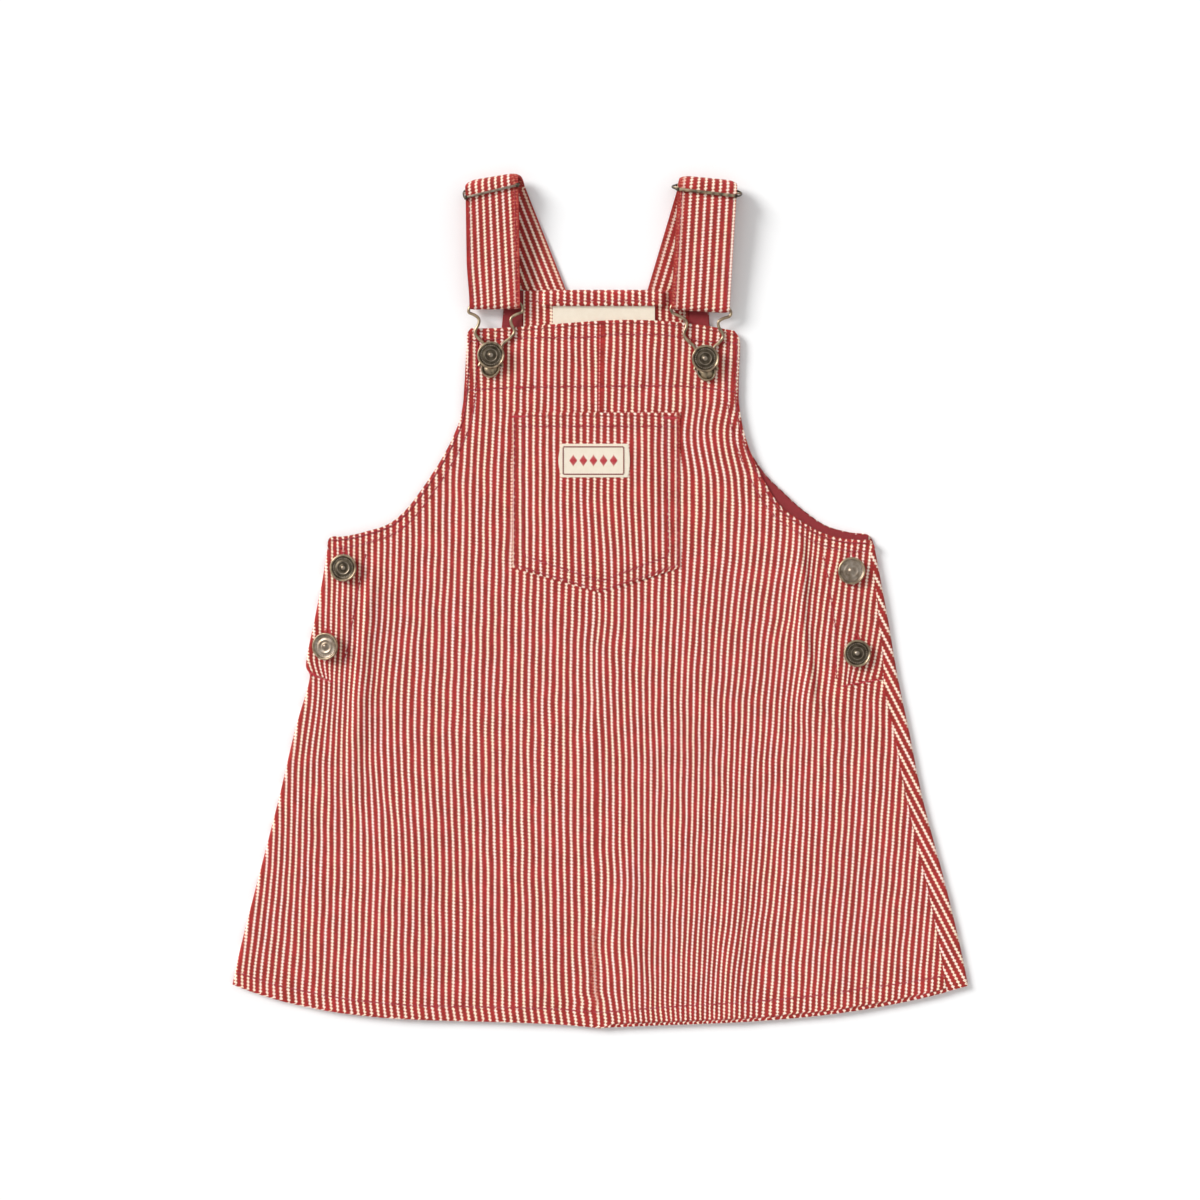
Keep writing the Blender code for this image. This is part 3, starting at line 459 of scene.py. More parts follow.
def between(table, place):
    """The table's row at a fractional place, on a smooth curve through its rows."""
    last = len(table) - 1
    index = min(int(place), last - 1)
    share = place - index
    rows = [table[min(max(index + step, 0), last)] for step in (-1, 0, 1, 2)]
    return type(table[0])(*(curved(start, end, (end - before) / 2, (after - start) / 2, share)
                            for before, start, end, after in zip(*rows)))


def course_at(bib, position):
    """The course at a position: on the bib without a wrap, or on the skirt."""
    if position >= len(bib):
        return between(SKIRT, position - len(bib))
    underarm = Course(*SKIRT[0][:len(Course._fields)])
    fade = max(1 - position / BIB_BOW_REACH, 0.0) if bib is FRONT_BIB else 0.0
    return Side(*between(bib + (underarm,), position), 0.0, *[sag * fade for sag in BIB_BOWS])


HEM_EDGE_ROWS = (0.1, -0.1)  # mesh rows at the edge of the cloth turned up at the hem
TOP_EDGE_ROWS = (0.15, 0.4, 0.8)  # and close under the top edge


def fine_positions(bib, spacing):
    """Positions down a panel, close enough that its mesh rows are a spacing apart."""
    last = len(bib) + len(SKIRT) - 1
    positions = []
    for index in range(last):
        above, below = course_at(bib, index), course_at(bib, index + 1)
        reach = max(abs(above.centre_y - below.centre_y),
                    *(math.dist(outer(above, side), outer(below, side)) for side in (-1, 1)))
        steps = max(math.ceil(reach / spacing), 2)
        positions += [index + step / steps for step in range(steps)]
    depth = abs(SKIRT[-1].centre_y - SKIRT[-2].centre_y)
    positions += [last - (HEM_EDGE + step) / depth for step in HEM_EDGE_ROWS]
    depth = abs(bib[0].centre_y - bib[1].centre_y)
    positions += [drop / depth for drop in TOP_EDGE_ROWS]
    return sorted(positions) + [last]


def underside(x, y):
    """Height of the front's underside: over the facings, the label and the folds."""
    height = mix(SKIRT_UNDER, BIB_UNDER, smooth((y - BIB_FOOT) / BIB_RISE))
    beside_label = smooth((abs(x - LABEL_MIDDLE) - LABEL_REACH) / LABEL_BESIDE)
    height += LABEL_LIFT * smooth((y - LABEL_FOOT) / LABEL_RISE) * (1 - beside_label)
    for fold in FOLDS:
        run_x, run_y = fold.end_x - fold.top_x, fold.end_y - fold.top_y
        length = math.hypot(run_x, run_y)
        along = ((x - fold.top_x) * run_x + (y - fold.top_y) * run_y) / length
        aside = ((x - fold.top_x) * run_y - (y - fold.top_y) * run_x) / length
        left = length + FOLD_OVERRUN - along
        fade = smooth(along / length / FOLD_FADE) * smooth(left / length / FOLD_FADE)
        height += fold.height * fade * math.exp(-(aside / fold.half_width) ** 2)
    return min(height, FOLD_LIMIT)


def bow(course, side, share):
    """How far a course lies below the straight line at a share of the way out."""
    greatest = course.bow_left if side < 0 else course.bow_right
    if course.wrap == 0 and side > 0:
        return greatest * 4 * share * (1 - share)
    power = HEM_POWERS[0 if side < 0 else 1]
    peak = (power / (power + 1)) ** power / (power + 1)
    return greatest * max(share, 0.0) ** power * (1 - share) / peak


def centre_seam(y):
    """The x of the centre front seam at a height."""
    for above, below in zip(CENTRE_SEAM, CENTRE_SEAM[1:]):
        if y > below.y:
            return mix(below.x, above.x, smooth((y - below.y) / (above.y - below.y)))
    return CENTRE_SEAM[-1].x


def outer(course, side):
    return (course.left_x, course.left_y) if side < 0 else (course.right_x, course.right_y)


def height_on(course, side, x):
    """The y of a course at an x, between the centre seam and its outer end."""
    outer_x, outer_y = outer(course, side)
    share = (x - CENTRE_X) / (outer_x - CENTRE_X)
    return mix(course.centre_y, outer_y, share) - bow(course, side, min(share, 1.0))


def side_fold(course, side):
    """Where a side fold leaves the top layer, and its middle radius."""
    outer_x, outer_y = outer(course, side)
    radius = underside(outer_x - side * FOLD_INSET, outer_y) / 2
    return outer_x - side * (radius + CLOTH / 2), radius


def front_edge(course, side):
    """The x where the front's top layer ends on this course."""
    if course.wrap == 0:
        return outer(course, side)[0]
    if side < 0:
        return side_fold(course, side)[0]
    return course.right_x - course.wrap - SEAM_GAP


Corner = namedtuple("Corner", "x y")


def smooth_line(points):
    """A stitch line on a smooth curve through a few (x, y) points."""
    corners = tuple(Corner(*point) for point in points)
    line = []
    for index in range(len(corners) - 1):
        steps = max(round(math.dist(corners[index], corners[index + 1]) / SEAM_SPACING), 1)
        line += [tuple(between(corners, index + step / steps)) for step in range(steps)]
    return line + [tuple(corners[-1])]


def along_line(line, x, y):
    """Nearest point of a line: signed distance (right of its way is +) and length to it."""
    best, place, run = None, 0.0, 0.0
    for (start_x, start_y), (end_x, end_y) in zip(line, line[1:]):
        way_x, way_y = end_x - start_x, end_y - start_y
        length = math.hypot(way_x, way_y)
        share = ((x - start_x) * way_x + (y - start_y) * way_y) / length ** 2
        share = min(max(share, 0.0), 1.0)
        off_x, off_y = x - start_x - way_x * share, y - start_y - way_y * share
        distance = math.hypot(off_x, off_y)
        if best is None or distance < abs(best):
            best = math.copysign(distance, off_x * way_y - off_y * way_x)
            place = run + share * length
        run += length
    return best, place


def line_length(line):
    return sum(math.dist(start, end) for start, end in zip(line, line[1:]))


class Lines:
    """Lines with boxes round their stretches, for the distance to the nearest."""

    def __init__(self, lines):
        self.boxed = []
        for line in lines:
            for start, end in zip(line, line[1:]):
                low_x, high_x = sorted((start[0], end[0]))
                low_y, high_y = sorted((start[1], end[1]))
                self.boxed.append(((low_x, high_x, low_y, high_y), (start, end)))

    def distance(self, x, y):
        best = SEAM_REACH
        for (low_x, high_x, low_y, high_y), segment in self.boxed:
            if low_x - best < x < high_x + best and low_y - best < y < high_y + best:
                best = min(best, abs(along_line(segment, x, y)[0]))
        return best


# ---------------- where it is sewn
def bib_edge(bib, side, position):
    """A point of a bib's side edge."""
    return Vector(outer(between(bib, min(max(position, 0.0), len(bib) - 1.0)), side))


def inward(bib, side, position):
    """The way from that edge into the cloth."""
    after, before = [bib_edge(bib, side, position + step) for step in (EDGE_STEP, -EDGE_STEP)]
    run = (after - before).normalized()
    return Vector((run.y, -run.x)) * side


def armhole_line(bib, side, inset):
    """A line inside an armhole's edge, from the course under the top to the underarm."""
    line = []
    for step in range((len(bib) - 2) * ARMHOLE_STEPS + 1):
        position = 1 + step / ARMHOLE_STEPS
        line.append(tuple(bib_edge(bib, side, position) + inward(bib, side, position) * inset))
    return line


def hem_spot(x):
    """The hem's band and lean at an x."""
    for start, end in zip(HEM, HEM[1:]):
        if x < end.x:
            share = max((x - start.x) / (end.x - start.x), 0.0)
            return HemSpot(x, mix(start.band, end.band, share), mix(start.lean, end.lean, share))
    return HEM[-1]


def half_of(x):
    """The half of the dress that an x is on: -1 is the left."""
    return -1 if x < CENTRE_X else 1


HEM_STEPS, TOP_STEPS = 60, 40  # stretches of the hem's line and of the top edge's


def hem_line(raised, first_x):
    """The hem (0) or its stitch line (1), as far as the right side seam."""
    hem = SKIRT[-1]
    line = []
    for step in range(HEM_STEPS + 1):
        x = mix(first_x, hem.right_x - hem.wrap - GAP, step / HEM_STEPS)
        line.append((x, height_on(hem, half_of(x), x) + hem_spot(x).band * raised))
    return line


def front_edges():
    """The folded edges of the front panels: the top of the bib, the armholes, the hem."""
    lines = [armhole_line(FRONT_BIB, side, 0.0) for side in (-1, 1)]
    top = course_at(FRONT_BIB, 0)
    xs = [mix(top.left_x, top.right_x, step / TOP_STEPS) for step in range(TOP_STEPS + 1)]
    lines.append([(x, height_on(top, half_of(x), x)) for x in xs])
    lines.append(hem_line(0, HEM_ROLL_FROM))
    return lines


HEM_STITCHES = hem_line(1, HEM_STITCH_START)
FRONT_TOPSTITCHES = [
    *[smooth_line(line) for line in (BIB_TOP_STITCH, BIB_FACING_STITCH, *OPENING_STITCHES)],
    *[armhole_line(FRONT_BIB, side, inset) for side in (-1, 1) for inset in ARMHOLE_STITCHES],
    HEM_STITCHES,
]
OPENING_FEET = [smooth_line(line) for line in OPENING_FOOT_STITCHES]
FRONT_SEAMS = Lines(FRONT_TOPSTITCHES + OPENING_FEET)
FRONT_EDGES = Lines(front_edges())


def crease_height(x, y):
    """How far the creases raise the front."""
    height = 0.0
    for crease in CREASES:
        xs = [point[0] for point in crease.line]
        ys = [point[1] for point in crease.line]
        reach = crease.soft * LOST_BEYOND
        if not (min(xs) - reach < x < max(xs) + reach and min(ys) - reach < y < max(ys) + reach):
            continue
        aside, run = along_line(crease.line, x, y)
        length = line_length(crease.line)
        fade = smooth(run / CREASE_FADE) * smooth((length - run) / CREASE_FADE)
        width = STEEP_WIDTH if aside * crease.steep_side > 0 else crease.soft
        height += crease.height * fade * math.exp(-(aside / width) ** 2)
    return height


def pocket_inset(x, y):
    """How far inside the pocket's outline a point is; negative outside."""
    share = x / POCKET_LEFT if x < 0 else x / POCKET_RIGHT
    foot = mix(POCKET_POINT, POCKET_SIDE, min(share, 1.0))
    return min(x - POCKET_LEFT, POCKET_RIGHT - x, POCKET_TOP - y, y - foot)


def hem_height(x, y):
    """The turned band along the hem, with its slanting ripples."""
    rise = y - height_on(SKIRT[-1], half_of(x), x)
    band = smooth((hem_spot(x).band - rise) / HEM_STEP)
    ripple = math.sin(2 * math.pi * (x + ROPING_SLANT * rise) / ROPING_PITCH)
    return band * (HEM_RISE + ROPING * ripple)


def relief(x, y, seam):
    """What the sewn cloth adds to the solids' front: creases, hem, puckers, ripples."""
    height = crease_height(x, y)
    height -= POCKET_BED * smooth((pocket_inset(x, y) + BED_SLOPE) / (2 * BED_SLOPE))
    if y < HEM_ZONE:
        height += hem_height(x, y)
    height -= GROOVE * math.exp(-(seam / GROOVE_WIDTH) ** 2)
    pucker = uneven(x, y, PUCKER_SIZE, PUCKERS)
    height += FRONT_PUCKER * pucker * math.exp(-(seam / PUCKER_REACH) ** 2)
    height += RIPPLE * uneven(x, y, RIPPLE_SIZE, RIPPLES)
    return max(height + CLOTH_LIFT, -DEEPEST - POCKET_BED)


def front_mid(x, y, seam):
    """Middle of the front cloth, dressed, at a distance from its nearest seam."""
    return underside(x, y) + CLOTH / 2 + relief(x, y, seam)


# ---------------- stripes
def on_lines(table, numbers, x, y):
    """The stripe number at (x, y), from a table of where stripes run."""
    heights = [row.y for row in table]
    index = 0
    while index < len(table) - 2 and y < heights[index + 1]:
        index += 1
    share = (heights[index] - y) / (heights[index] - heights[index + 1])
    row = between(table, index + min(max(share, 0.0), 1.0))
    xs = row[1:]
    place = 0
    while place < len(xs) - 2 and x > xs[place + 1]:
        place += 1
    slopes = [(numbers[i + 1] - numbers[i]) / (xs[i + 1] - xs[i]) for i in range(len(xs) - 1)]
    slope_in = (slopes[max(place - 1, 0)] + slopes[place]) / 2
    slope_out = (slopes[place] + slopes[min(place + 1, len(slopes) - 1)]) / 2
    left, right = xs[place], xs[place + 1]
    if x < left:
        return numbers[place] + (x - left) * slope_in
    if x > right:
        return numbers[place + 1] + (x - right) * slope_out
    width = right - left
    return curved(numbers[place], numbers[place + 1], slope_in * width, slope_out * width,
                  (x - left) / width)


def front_stripe(x, y, side):
    """Stripe number on the front: a whole number is the middle of a cream stripe."""
    if side < 0:
        number = on_lines(LEFT_LINES, LEFT_NUMBERS, x, y)
    else:
        number = on_lines(RIGHT_LINES, RIGHT_NUMBERS, x, y)
    rise = y - height_on(SKIRT[-1], side, x)
    hem = hem_spot(x)
    if rise < hem.band:
        number -= hem.lean * (hem.band - rise) / STRIPE
    if rise < HEM_EDGE * smooth((x - HEM_EDGE_FROM) / HEM_EDGE_FADE):
        number += 0.5
    number += STRIPE_WANDER * uneven(x, y, WANDER_SIZE, STRIPES)
    for sway in SWAYS:
        away = ((x - sway.x) / sway.reach_x) ** 2 + ((y - sway.y) / sway.reach_y) ** 2
        if away < LOST_BEYOND ** 2:
            number -= sway.shift / STRIPE * math.exp(-away)
    for pull in PULLS:
        beside = (x - pull.x) * pull.side
        rise = (y - pull.y - beside * pull.climb) / pull.reach
        if pull.side == side and beside > 0 and 0 < rise < 1:
            fade = (1 - rise) ** PULL_POWER * smooth(beside / PULL_FADE)
            number -= pull.shift / STRIPE * fade
    if side < 0:
        return min(number, -BESIDE_SEAM)
    return max(number, BESIDE_SEAM if y > HIDDEN_Y else BESIDE_LOWER_SEAM)


def back_stripe(x, y):
    """Stripe number on the back, whose stripes lean a little towards the right fold."""
    return (x - BACK_LEAN * y * smooth(x / BACK_LEAN_REACH)) / BACK_PITCH - BACK_START


def strip_stripe(x, y):
    """Stripe number on the strip that comes round the right fold, seen mirrored."""
    return STRIP_START - (x + STRIP_LEAN * y) / STRIP_PITCH


def pocket_stripe(x, y):
    """Stripe number on the pocket, whose stripes are drawn to the right below its middle."""
    pull = POCKET_PULL * math.exp(-((x - POCKET_PULL_X) / POCKET_PULL_WIDTH) ** 2)
    pull *= smooth((POCKET_PULL_Y - y) / POCKET_PULL_FADE)
    wander = uneven(x, y, POCKET_WANDER_SIZE, POCKET_STRIPES)
    return (x - pull + POCKET_START) / POCKET_PITCH + POCKET_WANDER * wander


def facing_stripe(x, _y):
    """Stripe number on the neck facing, whose stripes run straight up."""
    return (x + FACING_START) / FACING_PITCH


# ---------------- meshes
Spot = namedtuple("Spot", "x y z stripe along seam edge fray", defaults=(SEAM_REACH, 0.0))
BORDER = 0.07  # width of the strip along an edge, as a share of the mesh's step


def new_object(name, data):
    """An object in the scene."""
    new = bpy.data.objects.new(name, data)
    bpy.context.scene.collection.objects.link(new)
    return new


def new_piece(name, mesh, materials, node=None):
    """An object of the dress, riding on its only body."""
    for material in materials:
        mesh.materials.append(finish(material))
    piece = new_object(name, mesh)
    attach(piece, "root")
    if node:
        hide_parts(node)
    return piece


def blend(start, end, share):
    """The spot between two spots, or None beside a gap."""
    if start is None or end is None:
        return None
    return Spot(*(mix(a, b, share) for a, b in zip(start, end)))


def bordered(rows):
    """The rows with a narrow strip inside each edge, which keeps its shading flat."""
    ends = {0, len(rows[0]) - 1}
    for row in rows:
        ends |= {c for c in range(len(row) - 1) if row[c] is not None and row[c + 1] is None}
    full = []
    for row in rows:
        wider = []
        for c, spot in enumerate(row):
            if c in ends and c > 0:
                wider.append(blend(row[c - 1], spot, 1 - BORDER))
            wider.append(spot)
            if c == 0:
                wider.append(blend(spot, row[1], BORDER))
        full.append(wider)
    second = [blend(a, b, BORDER) for a, b in zip(full[0], full[1])]
    last = [blend(a, b, 1 - BORDER) for a, b in zip(full[-2], full[-1])]
    return [full[0], second, *full[1:-1], last, full[-1]]


def cloth_piece(name, rows, thickness, node, material="yarn_dyed_twill"):
    """A wall of cloth from rows of spots on its middle, with its stripes and seams."""
    index, spots, faces = {}, [], []
    rows = bordered(rows)
    for r, row in enumerate(rows):
        for c, spot in enumerate(row):
            if spot is not None:
                index[r, c] = len(spots)
                spots.append(spot)
    for r, row in enumerate(rows[:-1]):
        for c in range(len(row) - 1):
            corners = ((r, c), (r + 1, c), (r + 1, c + 1), (r, c + 1))
            if all(corner in index for corner in corners):
                faces.append([index[corner] for corner in corners])
    mesh = bpy.data.meshes.new(name)
    mesh.from_pydata([(s.x * MM, s.y * MM, s.z * MM) for s in spots], [], faces)
    layer = mesh.uv_layers.new(name="cloth")
    corners = [spots[loop.vertex_index] for loop in mesh.loops]
    layer.data.foreach_set("uv", [value for s in corners for value in (s.stripe, s.along)])
    for field in ("seam", "edge", "fray"):
        values = [getattr(spot, field) for spot in spots]
        mesh.attributes.new(field, 'FLOAT', 'POINT').data.foreach_set("value", values)
    mesh.shade_smooth()
    piece = new_piece(name, mesh, [material], node)
    wall = piece.modifiers.new("wall", 'SOLIDIFY')
    wall.thickness = thickness * MM
    wall.offset = 0.0
    wall.use_even_offset = True
    return piece


FOLD_STEPS, STRIP_STEPS = 10, 7  # columns of mesh round a side fold and past it
RIM_DROP, RIM_WIDTH = 0.35, 0.8  # a folded edge is rounded off


def past_fold(course, side, step, top_first):
    """A point round a side fold, or on the strip past it, and how far round it is."""
    fold_x, radius = side_fold(course, side)
    seam_x = outer(course, side)[0] - side * (course.wrap - SEAM_GAP)
    if step <= FOLD_STEPS:
        turn = math.pi * step / FOLD_STEPS
        rise = math.cos(turn) if top_first else -math.cos(turn)
        x = fold_x + side * radius * math.sin(turn)
        return x, height_on(course, side, x), BACK_MID + radius * (1 + rise), radius * turn
    x = mix(fold_x, seam_x, (step - FOLD_STEPS) / STRIP_STEPS)
    y = height_on(course, side, x)
    height = BACK_MID if top_first else underside(x, y) + CLOTH / 2
    return x, y, height, radius * math.pi + abs(x - fold_x)


def front_spot(x, y, side, from_seam):
    """A spot of a front panel, a way out from the centre seam."""
    seam, edge = FRONT_SEAMS.distance(x, y), FRONT_EDGES.distance(x, y)
    z = front_mid(x, y, seam) - side * FELL * math.exp(-(from_seam / FELL_WIDTH) ** 2)
    z -= RIM_DROP * (1 - smooth(edge / RIM_WIDTH))
    number = front_stripe(x, y, side)
    fray = 0.0
    if y < FRAY_TOP:
        beside = (number - FRAYED_STRIPE) / FRAY_WIDTH
        fray = STRIPE_FRAY * math.exp(-beside ** 2) * smooth((y - FRAY_FOOT) / FRAY_FADE)
    return Spot(x, y, z, number, y, seam, edge, fray)


def front_rows(side):
    """A front panel from the centre seam out; the left one goes on round the side fold."""
    columns = math.ceil(abs(outer(SKIRT[-1], side)[0]) / MESH_STEP)
    extra = FOLD_STEPS + STRIP_STEPS if side < 0 else 0
    rows = []
    for position in fine_positions(FRONT_BIB, MESH_STEP):
        course = course_at(FRONT_BIB, position)
        seam_x = centre_seam(course.centre_y)
        edge_x = front_edge(course, side)
        row = []
        for column in range(columns + 1):
            x = mix(seam_x, edge_x, column / columns)
            row.append(front_spot(x, height_on(course, side, x), side, x - seam_x))
        for step in range(1, extra + 1):
            if course.wrap == 0:
                row.append(None)
                continue
            x, y, z, arc = past_fold(course, side, step, True)
            lift = relief(edge_x, y, SEAM_REACH) * (1 - smooth(step / FOLD_STEPS))
            number = front_stripe(edge_x, y, side) - arc / STRIPE
            row.append(Spot(x, y, z + lift, number, y, SEAM_REACH))
        rows.append(row)
    return rows


def back_rows():
    """The back panel from left to right, and on round the right fold."""
    columns = math.ceil(SKIRT[-1].right_x * 2 / BACK_STEP)
    finder = Lines([HEM_STITCHES,
                    *[armhole_line(BACK_BIB, side, ARM_FACING_INSET) for side in (-1, 1)]])
    rows = []
    for position in fine_positions(BACK_BIB, BACK_STEP):
        course = course_at(BACK_BIB, position)
        left, right = course.left_x, course.right_x
        if course.wrap:
            left += course.wrap + GAP / 2
            right = side_fold(course, 1)[0]
        row = []
        for column in range(columns + 1):
            x = mix(left, right, column / columns)
            y = height_on(course, half_of(x), x)
            row.append(Spot(x, y, BACK_MID, back_stripe(x, y), y, finder.distance(x, y)))
        for step in range(1, FOLD_STEPS + STRIP_STEPS + 1):
            if course.wrap == 0:
                row.append(None)
                continue
            x, y, z, arc = past_fold(course, 1, step, False)
            seam = finder.distance(x, y) if step > FOLD_STEPS else SEAM_REACH
            fold_x, radius = side_fold(course, 1)
            unrolled = fold_x + radius * math.pi - arc
            number = mix(back_stripe(fold_x + arc, y), strip_stripe(unrolled, y),
                         smooth(step / FOLD_STEPS * 2))
            row.append(Spot(x, y, z, number, y, seam))
        rows.append(row)
    return rows


def armhole_facing_rows(side):
    """The band inside a back armhole."""
    rows, steps, columns, run_up = [], 260, 8, 0.0
    last = len(BACK_BIB) - 1
    for step in range(steps + 1):
        position = step / steps * last
        edge, way = bib_edge(BACK_BIB, side, position), inward(BACK_BIB, side, position)
        width = mix(ARM_FACING_NECK, ARM_FACING_WIDTH, smooth(position / ARM_FACING_SPREAD))
        run_up += (edge - bib_edge(BACK_BIB, side, position - last / steps)).length
        scallop = SCALLOP * math.sin(2 * math.pi * run_up / SCALLOP_PITCH)
        row = []
        for column in range(columns + 1):
            inset = width * column / columns
            start = ARM_FACING_INSET + scallop * (1 - column / columns)
            point = edge + way * (start + inset)
            y = min(point.y, BACK_FACING.top)
            ripple = uneven(*point, FACING_RIPPLE_SIZE, FACING_RIPPLES)
            z = FACING_MID + FACING_RIPPLE * ripple
            row.append(Spot(point.x, y, z, point.x, y, abs(inset - FACING_STITCH)))
        rows.append(row)
    return rows


def grid(columns, steps, spot):
    """Rows of spots; spot takes the shares of the way across and down."""
    return [[spot(column / columns, step / steps) for column in range(columns + 1)]
            for step in range(steps + 1)]


def area_rows(area, spacing, middle, stripe, finder):
    """Rows over a rectangle; middle(x, y) is the height of its middle."""
    def spot(across, down):
        x, y = mix(area.left, area.right, across), mix(area.top, area.bottom, down)
        return Spot(x, y, middle(x, y), stripe(x, y), y, finder.distance(x, y))

    columns, steps = area.right - area.left, area.top - area.bottom
    return grid(math.ceil(columns / spacing), math.ceil(steps / spacing), spot)


def pocket_seams():
    """The stitches under the pocket's turned top, and two rows round its sides and foot."""
    inset, hem_y = POCKET_HEM_STITCH, POCKET_TOP - POCKET_HEM
    lines = [[(POCKET_LEFT + inset, hem_y), (POCKET_RIGHT - inset, hem_y)]]
    for inset in POCKET_STITCHES:
        left, right = POCKET_LEFT + inset, POCKET_RIGHT - inset
        top, up = POCKET_TOP - POCKET_STITCH_TOP, inset * FOOT_UPRIGHT
        lines.append([(left, top), (left, POCKET_SIDE + up), (0.0, POCKET_POINT + up),
                      (right, POCKET_SIDE + up), (right - inset * INNER_ROW_LEAN, top)])
    return lines


POCKET_SEAMS = pocket_seams()
POCKET_SEAM_FINDER = Lines(POCKET_SEAMS)


def pocket_mid(x, y, seam=None):
    """Middle of the pocket's cloth: puffed a little between its seams."""
    inside = min(x - POCKET_LEFT, POCKET_RIGHT - x, y - POCKET_POINT)
    puff = POCKET_PUFF * smooth(inside / POCKET_PUFF_REACH)
    hem = POCKET_HEM_RISE * smooth((y - (POCKET_TOP - POCKET_HEM)) / HEM_STEP)
    hem -= RIM_DROP * (1 - smooth((POCKET_TOP - y) / RIM_WIDTH))
    if seam is None:
        seam = POCKET_SEAM_FINDER.distance(x, y)
    groove = GROOVE * math.exp(-(seam / GROOVE_WIDTH) ** 2)
    pucker = POCKET_PUCKER * uneven(x, y, PUCKER_SIZE, POCKET_PUCKERS)
    pucker *= math.exp(-(seam / PUCKER_REACH) ** 2)
    base = underside(x, y) + CLOTH + POCKET_WALL / 2 - POCKET_BED + POCKET_LIFT
    return base + puff + hem - groove + pucker


def pocket_spot(across, down):
    """A spot of the pocket, whose foot is pointed."""
    half = across * 2 - 1
    x = -half * POCKET_LEFT if half < 0 else half * POCKET_RIGHT
    y = mix(POCKET_TOP, mix(POCKET_POINT, POCKET_SIDE, abs(half)), down)
    seam = POCKET_SEAM_FINDER.distance(x, y)
    beside = min(x - POCKET_LEFT, POCKET_RIGHT - x)
    fray = math.exp(-((beside - POCKET_FRAY) / POCKET_FRAY) ** 2)
    return Spot(x, y, pocket_mid(x, y, seam), pocket_stripe(x, y), y, seam, POCKET_TOP - y, fray)


# ---------------- straps
FOLD_ROUNDING, ROUNDING_POWER = 0.24, 8  # a fold's corners are that much shorter
FOLD_PINCH = 0.05  # and the slider draws it in by that share
NIP_LENGTH = 0.4  # share of the strap over which its foot is drawn in
RUBBED_BEHIND = 0.35  # how frayed a strap looks behind, against 1 in front
SPARE_STRIPE = 1  # behind, it shows one more stripe on each side
EDGE_STRIPE = 0.45  # cream ends this far past the first and the last stripe
STRAP_FRAY_WIDTH = 1.1

# A stretch of strap: its rungs, how far up it starts and ends (0 at the hook, 1 at the
# slider), how rubbed it is, its spare stripes, and its points by w (across) and share.
Leg = namedtuple("Leg", "rungs start end rubbed spare point")


